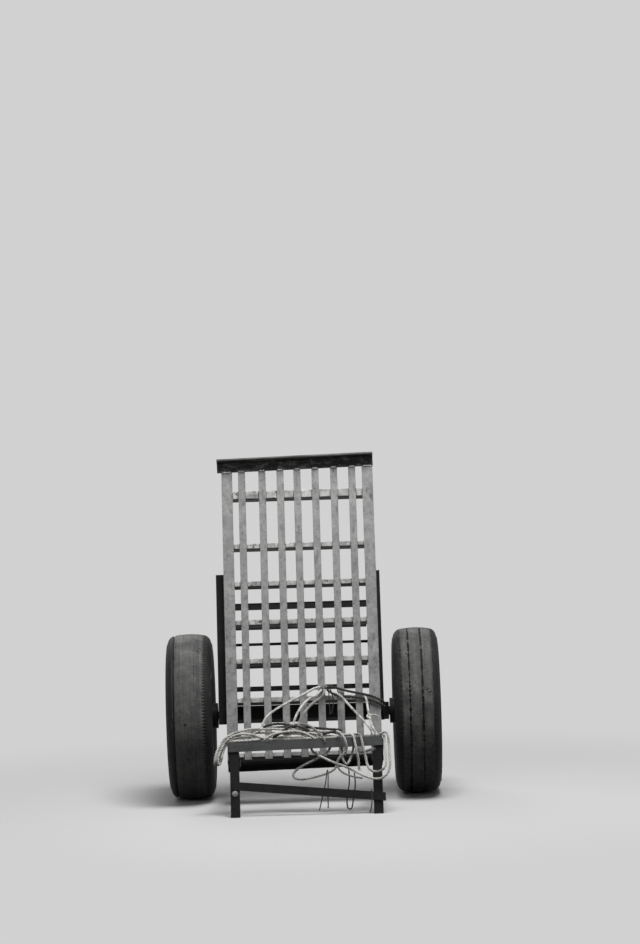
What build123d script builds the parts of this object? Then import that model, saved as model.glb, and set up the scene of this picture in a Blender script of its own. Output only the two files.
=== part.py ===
from build123d import *
import os
from math import cos, pi, radians, sin, sqrt, tan

# A porter's hand cart: a slatted steel bed on two car wheels, with a toe frame and a stand at its foot.
# Millimetres. X runs across the cart, its front faces -Y, Z is up and the floor is Z = 0.
# Most pieces are placed in the bed's own axes: x across, s up along the bed, n out of its front.

# Stance
LEAN = 20.0                  # degrees that the bed leans back when the cart stands on its legs

# Wheels
TYRE_DIAMETER = 578.0        # a worn 155 R 13 car tyre
TYRE_WIDTH = 160.0
BELLY_SHARE = 0.45           # how far out the tyre is widest, between the rim's edge and the tread
SIDEWALL = 10.0
TREAD_EDGE = 27.0            # how far in from the tyre's side its running face ends
CROWN_DROP = 5.0             # how much lower the running face is at its edges than in the middle
GROOVE_WIDTH = 5.0
GROOVE_DEPTH = 4.0
TREAD_GROOVES = {"left": (51.5,), "right": (-27.0, 17.0)}  # places, outboard of the tyre's middle
WHEEL_GAP = 19.0             # between the rear frame's wider side and the tyre beside it
SEAT_RADIUS = 165.0          # bead seat of a 13 inch rim
SEAT_WIDTH = 120.0           # between the rim's two flanges
FLANGE_HEIGHT = 15.0
RIM_WALL = 4.0
WELL_DEPTH = 17.0
DISC_WALL = 5.0
DISC_FACE = 30.0             # the disc's bolting face, outboard of the tyre's middle
DISC_BULGE = 16.0
VENT_COUNT = 8
VENT_DIAMETER = 24.0
VENT_CIRCLE = 226.0
NUT_COUNT = 4
NUT_CIRCLE = 100.0
NUT_ACROSS = 19.0
NUT_HEIGHT = 15.0
DISC_STEP = (70.0, 74.0)     # radii where the disc's flat face ends, outside and inside
DISC_CREST = (96.0, 104.0)   # radii of the bulge's crest
DISC_FALL = 128.0            # radius where the bulge turns in to the rim
HUB_DIAMETER = 88.0
HUB_WAIST = 76.0
HUB_SHOULDER = 26.0          # length of the hub's fat inner end
HUB_FLANGE_DIAMETER = 144.0
HUB_FLANGE_WALL = 10.0
SPIGOT_DIAMETER = 59.0
SPIGOT_GAP = 0.5
CAP_DIAMETER = 52.0
CAP_LENGTH = 20.0
STUD_DIAMETER = 12.0
STUD_PROUD = 4.0             # how far a stud's end stands out of its nut
VALVE_DIAMETER = 11.0
VALVE_LENGTH = 24.0
VALVE_NECK = 7.5
VALVE_TIP = 7.0
VALVE_TILT = 22.0            # degrees that the valve leans in towards the axle
VALVE_TURN = 202.5           # degrees round the wheel, midway between two vents

# Axle
AXLE_SIZE = 50.0             # square bar
AXLE_PROUD = 2.0             # how far the square part passes the rear frame's wider side
STUB_DIAMETER = 30.0
STUB_FIT = 0.05              # radial clearance of the hub on the stub
HUB_END_GAP = 3.0
STUB_END_GAP = 1.0

# Handle bar across the top
HANDLE_LENGTH = 552.0
HANDLE_SHIFT = -7.0
HANDLE_TOP = 887.0
HANDLE_WEB = 38.0
HANDLE_FLANGE = 45.0
HANDLE_WALL = 7.0
HANDLE_SKEW = 1.15           # degrees, its right end higher

# Bed
BED_WIDTH = 535.0
BED_FRONT = 160.0            # the bed's front face, ahead of the axle's middle
RAIL_FACE = 38.0
RAIL_DEPTH = 45.0
STEEL = 6.0                  # wall of the rails and slats
SLAT_WIDTH = 25.0
SLAT_MIDDLES = (-196.0, -124.0, -60.0, 0.0, 64.0, 130.0, 194.0)
BED_FOOT = -203.0
BAR_DEPTH = 38.0
BAR_WALL = 2.5
BAR_ROUNDING = 4.0
TOP_BAR_DROP = 143.0         # from the handle bar's top down to the top cross bar's lower edge
# Each cross bar: the height of its lower edge on the bed, how tall its front face is, and how deep a
# stiffener it has behind it.
CROSS_BARS = (
    (HANDLE_TOP - TOP_BAR_DROP, 30.0, 0.0),
    (560.0, 20.0, 0.0),
    (422.0, 20.0, 0.0),
    (282.0, 20.0, 40.0),
    (142.0, 20.0, 40.0),
    (2.0, 20.0, 0.0),
    (-142.0, 20.0, 0.0),
    (-192.0, 17.0, 0.0),
)

# Rear frame that carries the bed on the axle
UPRIGHT_WIDTH = 50.0
UPRIGHT_WALL = 8.0
UPRIGHT_SHIFT = -8.0         # the rear frame sits a little to the left of the bed
UPRIGHT_SPREAD = 526.0       # between the uprights' middles
UPRIGHT_FOOT = -60.0
UPRIGHT_TOP = 480.0
SHELF_WALL = 6.0
UPPER_SHELF = (369.0, 68.0)  # height on the bed, and depth
LOWER_SHELF = (67.0, 45.0)
STIFFENER_GAP = 2.0          # between a stiffener's end and the upright beside it
TIE_ROD_DIAMETER = 10.0
TIE_ROD_HEIGHT = 226.0
AXLE_PLATE_WALL = 10.0
AXLE_PLATE_HEIGHT = 120.0

# Toe frame
TOE_REACH = 280.0            # from the bed's front face to the front bar's face
TOE_SKEW = 1.0               # degrees, its right side higher
ROOT_DEPTH = 72.0
ROOT_LIP = 25.0
ARM_WIDTH = 36.0
ARM_DROP = 32.0
ARM_SPREAD = 528.0           # over the arms' outer faces
TOE_SHIFT = 4.0              # the arms and front bar sit a little to the right of the bed
FRONT_BAR_LENGTH = 522.0
FRONT_BAR_HEIGHT = 32.0
FRONT_BAR_LEDGE = 32.0

# Rolled angle steel
ROOT_SHARE = 1.0             # the fillet in an angle's root, as a share of its wall
TOE_SHARE = 0.5              # the rounding of its toes

# Stand
LEG_WIDTH = 32.0
LEG_DEPTH = 28.0
LEG_WALL = 5.0
LEG_GAP = 1.0                # between a leg and the arm beside it
LOWER_BAR_HEIGHT = 28.0
LOWER_BAR_ENDS = ((-246.0, -356.0), (270.0, -408.0))  # x and s of its middle line's two ends

# Ropes
ROPE_DIAMETER = 9.0
TWINE_DIAMETER = 5.0
STRING_DIAMETER = 4.0
KNOT_DIAMETER = 26.0
KNOT_PLACE = (72.0, 48.0)    # x and s
REST_GAP = 0.3               # between the lashings and what they lie on
HANK_BACK = 401.6
HANK_DEPTH = 44.4
HANK_RIGHT = 136.5
HANK_SIDE_GAP = 1.6
HANK_ROUNDING = 8.0
ARC_SHARE = 0.45             # how much of a run the arc at its end may take

AXLE_Z = TYRE_DIAMETER / 2
FRAME_EDGE = abs(UPRIGHT_SHIFT) + (UPRIGHT_SPREAD + UPRIGHT_WIDTH) / 2
TRACK = 2 * (FRAME_EDGE + WHEEL_GAP) + TYRE_WIDTH
TOE_FRONT = BED_FRONT + TOE_REACH
LEG_FRONT = TOE_FRONT - STEEL
LEG_FOOT = -(AXLE_Z + LEG_FRONT * sin(radians(LEAN))) / cos(radians(LEAN))
FRONT_REACH = LEG_FRONT * cos(radians(LEAN)) - LEG_FOOT * sin(radians(LEAN))
AXLE_Y = (FRONT_REACH - TYRE_DIAMETER / 2) / 2
BAR_FRONT = BED_FRONT - STEEL
RAIL_BACK = BED_FRONT - RAIL_DEPTH
UPRIGHT_BACK = RAIL_BACK - UPRIGHT_WALL

os.makedirs("parts", exist_ok=True)


def bed_plane(x=0.0, s=0.0, n=0.0, skew=0.0):
    """A plane in the bed's face: its x runs across, its y up the bed, and its z out of the front."""
    lean = radians(LEAN)
    axle = Plane(origin=(0, AXLE_Y, AXLE_Z), x_dir=(1, 0, 0), z_dir=(0, -cos(lean), sin(lean)))
    return Plane(axle.location * Location((x, s, n), (0, 0, skew)))


def section_plane(x=0.0, s=0.0, n=0.0, skew=0.0):
    """A plane across the cart: its x runs along n, its y up the bed, and its z towards -X."""
    return Plane(bed_plane(x, s, n, skew).location * Location((0, 0, 0), (0, -90, 0)))


def rail_plane(x=0.0, s=0.0, n=0.0):
    """A plane square to the bed's length: its x runs across, its y along n, and its z down the bed."""
    return Plane(bed_plane(x, s, n).location * Location((0, 0, 0), (90, 0, 0)))


def wheel_plane(side, turn=0.0):
    """A plane through a wheel's middle: its x runs outboard along the axle, and its y is the radius."""
    upright = Plane(origin=(side * TRACK / 2, AXLE_Y, AXLE_Z), x_dir=(side, 0, 0), z_dir=(0, -side, 0))
    return Plane(upright.location * Location((0, 0, 0), (turn, 0, 0)))


def toe_top(*places):
    """The highest point of the skewed toe frame's top between two places across the cart."""
    return BED_FOOT + max(places) * tan(radians(TOE_SKEW))


def handle_foot(*places):
    """The lowest point of the skewed handle bar's lower edge between two places across the cart."""
    skew = radians(HANDLE_SKEW)
    return HANDLE_TOP + (min(places) - HANDLE_SHIFT) * tan(skew) - HANDLE_WEB / cos(skew)


def round_angle(sketch, root, toes, wall):
    """Give an angle section the fillet in its root, where one is named, and the rounding of its toes."""
    for corner, radius in ((root, ROOT_SHARE * wall), *((toe, TOE_SHARE * wall) for toe in toes)):
        if corner:
            fillet(sketch.vertices().sort_by_distance(corner)[0], radius)


def save(piece, name):
    piece.part.label = name
    export_step(piece.part, f"parts/{name}.step")


SIDES = (("left", -1), ("right", 1))

# Side rails: steel angle, one leg in the bed's face and the other going back along its outer edge
for name, side in SIDES:
    with BuildPart() as rail:
        outer = side * BED_WIDTH / 2
        inner = outer - side * RAIL_FACE
        web = outer - side * STEEL
        head = handle_foot(inner, outer)
        with BuildSketch(rail_plane(s=head, n=BED_FRONT)) as section:
            with BuildLine():
                Polyline(
                    (outer, 0), (inner, 0), (inner, -STEEL), (web, -STEEL),
                    (web, -RAIL_DEPTH), (outer, -RAIL_DEPTH), close=True,
                )
            make_face()
            round_angle(section, None, ((web, -RAIL_DEPTH),), STEEL)
        extrude(amount=head - toe_top(inner, outer))
    save(rail, f"rail_{name}")

# Slats: flat bar, welded to the fronts of the cross bars
for number, middle in enumerate(SLAT_MIDDLES, 1):
    foot = toe_top(middle + SLAT_WIDTH / 2)
    head = handle_foot(middle - SLAT_WIDTH / 2)
    with BuildPart() as slat:
        with BuildSketch(bed_plane(x=middle, s=foot, n=BAR_FRONT)):
            Rectangle(SLAT_WIDTH, head - foot, align=(Align.CENTER, Align.MIN))
        extrude(amount=STEEL)
    save(slat, f"slat_{number}")

# Cross bars: rectangular tube between the rails
bar_length = BED_WIDTH - 2 * STEEL
for number, (height, face, stiffener) in enumerate(CROSS_BARS, 1):
    with BuildPart() as cross_bar:
        with BuildSketch(section_plane(s=height, n=BAR_FRONT)):
            with Locations((-BAR_DEPTH / 2, face / 2)):
                RectangleRounded(BAR_DEPTH, face, BAR_ROUNDING)
                RectangleRounded(
                    BAR_DEPTH - 2 * BAR_WALL, face - 2 * BAR_WALL, BAR_ROUNDING - BAR_WALL, mode=Mode.SUBTRACT
                )
        extrude(amount=bar_length / 2, both=True)
    save(cross_bar, f"cross_bar_{number}")

# Handle bar: steel angle across the top, its flange pointing forward
with BuildPart() as handle_bar:
    with BuildSketch(section_plane(HANDLE_SHIFT, HANDLE_TOP, BED_FRONT - HANDLE_WALL, HANDLE_SKEW)) as section:
        Rectangle(HANDLE_WALL, HANDLE_WEB, align=(Align.MIN, Align.MAX))
        Rectangle(HANDLE_FLANGE, HANDLE_WALL, align=(Align.MIN, Align.MAX))
        round_angle(
            section, (HANDLE_WALL, -HANDLE_WALL), ((HANDLE_WALL, -HANDLE_WEB), (HANDLE_FLANGE, -HANDLE_WALL)),
            HANDLE_WALL,
        )
    extrude(amount=HANDLE_LENGTH / 2, both=True)
save(handle_bar, "handle_bar")

# Rear frame: two flat uprights behind the rails, with plates back to the axle
for name, side in SIDES:
    middle = UPRIGHT_SHIFT + side * UPRIGHT_SPREAD / 2
    with BuildPart() as upright:
        with BuildSketch(bed_plane(x=middle, n=UPRIGHT_BACK)):
            with Locations((0, UPRIGHT_FOOT)):
                Rectangle(UPRIGHT_WIDTH, UPRIGHT_TOP - UPRIGHT_FOOT, align=(Align.CENTER, Align.MIN))
        extrude(amount=UPRIGHT_WALL)
    save(upright, f"upright_{name}")

    with BuildPart() as axle_plate:
        with BuildSketch(section_plane(x=middle)):
            with BuildLine():
                seat = AXLE_SIZE / 2
                reach = AXLE_PLATE_HEIGHT / 2
                Polyline((seat, -seat), (seat, seat), (UPRIGHT_BACK, reach), (UPRIGHT_BACK, -reach), close=True)
            make_face()
        extrude(amount=AXLE_PLATE_WALL / 2, both=True)
    save(axle_plate, f"axle_plate_{name}")

frame_width = UPRIGHT_SPREAD + UPRIGHT_WIDTH
for name, (height, depth) in (("upper", UPPER_SHELF), ("lower", LOWER_SHELF)):
    with BuildPart() as shelf:
        with BuildSketch(section_plane(x=UPRIGHT_SHIFT, s=height, n=UPRIGHT_BACK)):
            Rectangle(depth, SHELF_WALL, align=(Align.MAX, Align.MIN))
        extrude(amount=frame_width / 2, both=True)
    save(shelf, f"shelf_{name}")

# Stiffeners: flat bar behind the middle cross bars, between the uprights
stiffener_length = UPRIGHT_SPREAD - UPRIGHT_WIDTH - 2 * STIFFENER_GAP
with BuildPart() as stiffeners:
    for height, face, stiffener in CROSS_BARS:
        if stiffener:
            with BuildSketch(section_plane(x=UPRIGHT_SHIFT, s=height + BAR_ROUNDING, n=BAR_FRONT - BAR_DEPTH)):
                Rectangle(stiffener, SHELF_WALL, align=(Align.MAX, Align.MIN))
            extrude(amount=stiffener_length / 2, both=True)
save(stiffeners, "stiffeners")

# Tie rod across the backs of the uprights
with BuildPart() as tie_rod:
    with BuildSketch(section_plane(UPRIGHT_SHIFT, TIE_ROD_HEIGHT, UPRIGHT_BACK - TIE_ROD_DIAMETER / 2)):
        Circle(TIE_ROD_DIAMETER / 2)
    extrude(amount=frame_width / 2 - 5.0, both=True)
save(tie_rod, "tie_rod")

# Axle: solid square bar, turned down to a stub at each end
axle_end = FRAME_EDGE + AXLE_PROUD
hub_end = axle_end + HUB_END_GAP - TRACK / 2
stub_end = DISC_FACE + DISC_WALL
with BuildPart() as axle:
    with BuildSketch(section_plane()):
        Rectangle(AXLE_SIZE, AXLE_SIZE)
    extrude(amount=axle_end, both=True)
    with BuildSketch(section_plane()):
        Circle(STUB_DIAMETER / 2)
    extrude(amount=TRACK / 2 + stub_end, both=True)
save(axle, "axle")

# Toe frame: a root bar under the bed, two arms and the front bar, all skewed together
with BuildPart() as root_bar:
    with BuildSketch(section_plane(s=BED_FOOT, n=RAIL_BACK, skew=TOE_SKEW)):
        Rectangle(ROOT_DEPTH, STEEL, align=(Align.MIN, Align.MAX))
        Rectangle(STEEL, ROOT_LIP, align=(Align.MIN, Align.MAX))
    extrude(amount=BED_WIDTH / 2, both=True)
save(root_bar, "toe_root_bar")

arm_start = RAIL_BACK + ROOT_DEPTH
arm_end = TOE_FRONT - FRONT_BAR_LEDGE
for name, side in SIDES:
    with BuildPart() as arm:
        toe = bed_plane(s=BED_FOOT, skew=TOE_SKEW)
        outer = TOE_SHIFT + side * ARM_SPREAD / 2
        inner = outer - side * ARM_WIDTH
        web = outer - side * STEEL
        with BuildSketch(toe.offset(arm_start)) as section:
            with BuildLine():
                Polyline(
                    (outer, 0), (inner, 0), (inner, -STEEL), (web, -STEEL), (web, -ARM_DROP), (outer, -ARM_DROP),
                    close=True,
                )
            make_face()
            round_angle(section, None, ((inner, -STEEL), (web, -ARM_DROP)), STEEL)
        extrude(amount=arm_end - arm_start)
    save(arm, f"toe_arm_{name}")

with BuildPart() as front_bar:
    with BuildSketch(section_plane(TOE_SHIFT, BED_FOOT, TOE_FRONT, TOE_SKEW)) as section:
        Rectangle(STEEL, FRONT_BAR_HEIGHT, align=(Align.MAX, Align.MAX))
        Rectangle(FRONT_BAR_LEDGE, STEEL, align=(Align.MAX, Align.MAX))
        round_angle(section, None, ((-STEEL, -FRONT_BAR_HEIGHT),), STEEL)
    extrude(amount=FRONT_BAR_LENGTH / 2, both=True)
save(front_bar, "toe_front_bar")

# Stand: two angle legs under the front bar, cut level with the floor, and a crooked flat bar across them
for name, side in SIDES:
    outer = TOE_SHIFT + side * (ARM_SPREAD / 2 - STEEL - LEG_GAP)
    inner = outer - side * LEG_WIDTH
    leg_top = toe_top(min(inner, outer)) - STEEL - LEG_GAP
    with BuildPart() as leg:
        web = outer - side * LEG_WALL
        with BuildSketch(rail_plane(s=leg_top, n=LEG_FRONT)) as section:
            with BuildLine():
                Polyline(
                    (outer, 0), (inner, 0), (inner, -LEG_WALL), (web, -LEG_WALL),
                    (web, -LEG_DEPTH), (outer, -LEG_DEPTH), close=True,
                )
            make_face()
            round_angle(section, (web, -LEG_WALL), ((inner, -LEG_WALL), (web, -LEG_DEPTH)), LEG_WALL)
        extrude(amount=leg_top - LEG_FOOT + LEG_DEPTH)
        split(bisect_by=Plane.XY, keep=Keep.TOP)
    save(leg, f"leg_{name}")

(left_x, left_s), (right_x, right_s) = LOWER_BAR_ENDS
with BuildPart() as lower_bar:
    with BuildSketch(bed_plane(n=LEG_FRONT)):
        with BuildLine():
            half = LOWER_BAR_HEIGHT / 2
            Polyline(
                (left_x, left_s - half), (right_x, right_s - half), (right_x, right_s + half),
                (left_x, left_s + half), close=True,
            )
        make_face()
    extrude(amount=STEEL)
save(lower_bar, "lower_bar")

# Wheels, drawn as half sections and turned about the axle
for name, side in SIDES:
    plane = wheel_plane(side)
    spin = Axis(plane.origin, plane.x_dir)
    tyre_radius = TYRE_DIAMETER / 2
    half_width = TYRE_WIDTH / 2
    half_seat = SEAT_WIDTH / 2
    tread_reach = half_width - TREAD_EDGE
    flange_radius = SEAT_RADIUS + FLANGE_HEIGHT
    belly = flange_radius + BELLY_SHARE * (tyre_radius - flange_radius)

    with BuildPart() as tyre:
        with BuildSketch(plane):
            with BuildLine():
                for hand in (1, -1):
                    Line((hand * (half_seat - 14), SEAT_RADIUS), (hand * half_seat, SEAT_RADIUS))
                    Line((hand * half_seat, SEAT_RADIUS), (hand * half_seat, flange_radius + 1))
                    ThreePointArc(
                        (hand * half_seat, flange_radius + 1),
                        (hand * half_width, belly),
                        (hand * (half_width - 5), tyre_radius - 30),
                    )
                    ThreePointArc(
                        (hand * (half_width - 5), tyre_radius - 30),
                        (hand * (half_width - 13), tyre_radius - 13),
                        (hand * tread_reach, tyre_radius - CROWN_DROP),
                    )
                    Line((hand * (half_seat - 14), SEAT_RADIUS), (hand * (half_seat - 10), flange_radius))
                    ThreePointArc(
                        (hand * (half_seat - 10), flange_radius),
                        (hand * (half_width - SIDEWALL), belly),
                        (hand * (half_width - 17), tyre_radius - 32),
                    )
                    ThreePointArc(
                        (hand * (half_width - 17), tyre_radius - 32),
                        (hand * (half_width - 24), tyre_radius - 21),
                        (hand * (half_width - 36), tyre_radius - 17),
                    )
                ThreePointArc(
                    (tread_reach, tyre_radius - CROWN_DROP), (0, tyre_radius), (-tread_reach, tyre_radius - CROWN_DROP)
                )
                ThreePointArc(
                    (half_width - 36, tyre_radius - 17), (0, tyre_radius - 14), (36 - half_width, tyre_radius - 17)
                )
            make_face()
        revolve(axis=spin)
        crown = (tread_reach ** 2 + CROWN_DROP ** 2) / (2 * CROWN_DROP)
        with BuildSketch(plane):
            for place in TREAD_GROOVES[name]:
                floor = tyre_radius - crown + sqrt(crown ** 2 - place ** 2) - GROOVE_DEPTH
                with Locations((place, floor)):
                    Rectangle(GROOVE_WIDTH, 2 * GROOVE_DEPTH, align=(Align.CENTER, Align.MIN))
        revolve(axis=spin, mode=Mode.SUBTRACT)
    save(tyre, f"tyre_{name}")

    with BuildPart() as rim:
        with BuildSketch(plane):
            with BuildLine():
                well = SEAT_RADIUS - WELL_DEPTH
                edge = half_seat + RIM_WALL
                Polyline(
                    (edge, flange_radius), (half_seat, flange_radius), (half_seat, SEAT_RADIUS),
                    (half_seat - 16, SEAT_RADIUS), (half_seat - 30, well), (30 - half_seat, well),
                    (16 - half_seat, SEAT_RADIUS), (-half_seat, SEAT_RADIUS), (-half_seat, flange_radius),
                    (-edge, flange_radius), (-edge, SEAT_RADIUS - RIM_WALL), (18 - half_seat, SEAT_RADIUS - RIM_WALL),
                    (32 - half_seat, well - RIM_WALL), (half_seat - 32, well - RIM_WALL),
                    (half_seat - 18, SEAT_RADIUS - RIM_WALL), (edge, SEAT_RADIUS - RIM_WALL), close=True,
                )
            make_face()
        revolve(axis=spin)
        with BuildSketch(plane):
            with BuildLine():
                bore = SPIGOT_DIAMETER / 2 + SPIGOT_GAP
                face = DISC_FACE + DISC_WALL
                crest = face + DISC_BULGE
                weld = well - RIM_WALL / 2
                Polyline(
                    (DISC_FACE, bore), (face, bore), (face, DISC_STEP[0]), (crest, DISC_CREST[0]),
                    (crest, DISC_CREST[1]), (face + 10, DISC_FALL), (DISC_FACE - 2, weld),
                    (DISC_FACE - 10, weld), (face + 4, DISC_FALL - 2), (crest - DISC_WALL, DISC_CREST[1]),
                    (crest - DISC_WALL, DISC_CREST[0] + 2), (DISC_FACE, DISC_STEP[1]), close=True,
                )
            make_face()
        revolve(axis=spin)
        with BuildSketch(Plane(plane.origin + plane.x_dir * DISC_FACE, x_dir=(0, 0, 1), z_dir=plane.x_dir)):
            with PolarLocations(VENT_CIRCLE / 2, VENT_COUNT):
                Circle(VENT_DIAMETER / 2)
        extrude(amount=DISC_BULGE + 2 * DISC_WALL, mode=Mode.SUBTRACT)
        valve_foot = Location((half_seat - 23, SEAT_RADIUS - WELL_DEPTH / 2, 0), (0, 0, -VALVE_TILT))
        valve = Plane(wheel_plane(side, VALVE_TURN).location * valve_foot * Location((0, 0, 0), (0, 90, 0)))
        with BuildSketch(valve):
            Circle(VALVE_DIAMETER / 2)
        extrude(amount=VALVE_LENGTH)
        with BuildSketch(valve.offset(VALVE_LENGTH)):
            Circle(VALVE_NECK / 2)
        extrude(amount=VALVE_TIP)
    save(rim, f"rim_{name}")

    with BuildPart() as hub:
        with BuildSketch(plane):
            with BuildLine():
                bore = STUB_DIAMETER / 2 + STUB_FIT
                flange_back = DISC_FACE - HUB_FLANGE_WALL
                nose = DISC_FACE + DISC_WALL + STUB_END_GAP
                shoulder = hub_end + HUB_SHOULDER
                Polyline(
                    (hub_end, bore), (hub_end, HUB_DIAMETER / 2), (shoulder, HUB_DIAMETER / 2),
                    (shoulder + 10, HUB_WAIST / 2), (flange_back - 14, HUB_WAIST / 2),
                    (flange_back, HUB_DIAMETER / 2 + 4),
                    (flange_back, HUB_FLANGE_DIAMETER / 2), (DISC_FACE, HUB_FLANGE_DIAMETER / 2),
                    (DISC_FACE, SPIGOT_DIAMETER / 2), (nose, SPIGOT_DIAMETER / 2), (nose, bore), close=True,
                )
            make_face()
        revolve(axis=spin)
    save(hub, f"hub_{name}")

    disc_front = Plane(plane.origin + plane.x_dir * (DISC_FACE + DISC_WALL), x_dir=(0, 0, 1), z_dir=plane.x_dir)
    with BuildPart() as nuts:
        with BuildSketch(disc_front):
            with PolarLocations(NUT_CIRCLE / 2, NUT_COUNT, start_angle=45):
                RegularPolygon(NUT_ACROSS / 2, 6, major_radius=False)
        extrude(amount=NUT_HEIGHT)
        chamfer(nuts.faces().filter_by(spin).sort_by(spin)[-NUT_COUNT:].edges(), 2.0)
        with BuildSketch(disc_front.offset(NUT_HEIGHT)):
            with PolarLocations(NUT_CIRCLE / 2, NUT_COUNT, start_angle=45):
                Circle(STUD_DIAMETER / 2)
        extrude(amount=STUD_PROUD)
    save(nuts, f"lug_nuts_{name}")

    with BuildPart() as cap:
        with BuildSketch(disc_front.offset(STUB_END_GAP)):
            Circle(CAP_DIAMETER / 2)
        extrude(amount=CAP_LENGTH)
        fillet(cap.faces().filter_by(spin).sort_by(spin)[-1].edges(), 8.0)
    save(cap, f"cap_{name}")


def lay_cord(name, diameter, route):
    """A round cord on straight runs joined by arcs, each as large as its two runs allow."""
    points = [Vector(*point) for point in route]
    radii = []
    for before, corner, after in zip(points, points[1:], points[2:]):
        arriving = corner - before
        leaving = after - corner
        half_turn = radians(arriving.get_angle(leaving)) / 2
        radii.append(ARC_SHARE * min(arriving.length, leaving.length) / tan(half_turn))
    with BuildPart() as cord:
        with BuildLine() as path:
            FilletPolyline(*points, radius=radii)
        with BuildSketch(Plane(origin=path.line @ 0, z_dir=path.line % 0)):
            Circle(diameter / 2)
        sweep()
    length = path.wire().length
    filled = cord.part.volume / (pi * diameter ** 2 / 4 * length)
    print(f"{name}: {length:.0f} mm, fills {filled:.4f} of its section times its length,",
          "radii", " ".join(f"{radius:.0f}" for radius in radii))
    save(cord, name)


# Lashing rope heaped on the front bar: one closed form round all its strands, drooping off the left end
ledge_slope = tan(radians(TOE_SKEW))
hank_left = TOE_SHIFT - ARM_SPREAD / 2 - HANK_SIDE_GAP
out_of_bed = Axis(bed_plane().origin, bed_plane().z_dir)
with BuildPart() as hank:
    with BuildSketch(bed_plane(n=HANK_BACK)) as outline:
        with BuildLine():
            Polyline(
                (HANK_RIGHT, toe_top(HANK_RIGHT) + REST_GAP), (hank_left, toe_top(hank_left) + REST_GAP),
                (-265, -216), (-276, -246), (-280, -299), (-299, -312), (-312, -290), (-302, -216),
                (-264, -168), (-200, -160), (118, -147.8), (HANK_RIGHT, -158), close=True,
            )
        make_face()
        fillet(outline.vertices(), HANK_ROUNDING / 2)
    extrude(amount=HANK_DEPTH)
    fillet(hank.faces().filter_by(out_of_bed).edges(), HANK_ROUNDING)
save(hank, "rope_hank")

# The knot on the bed where the ropes meet
with BuildPart(bed_plane(*KNOT_PLACE, BED_FRONT + KNOT_DIAMETER / 2 + REST_GAP)) as knot:
    Sphere(KNOT_DIAMETER / 2)
save(knot, "rope_knot")

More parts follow.
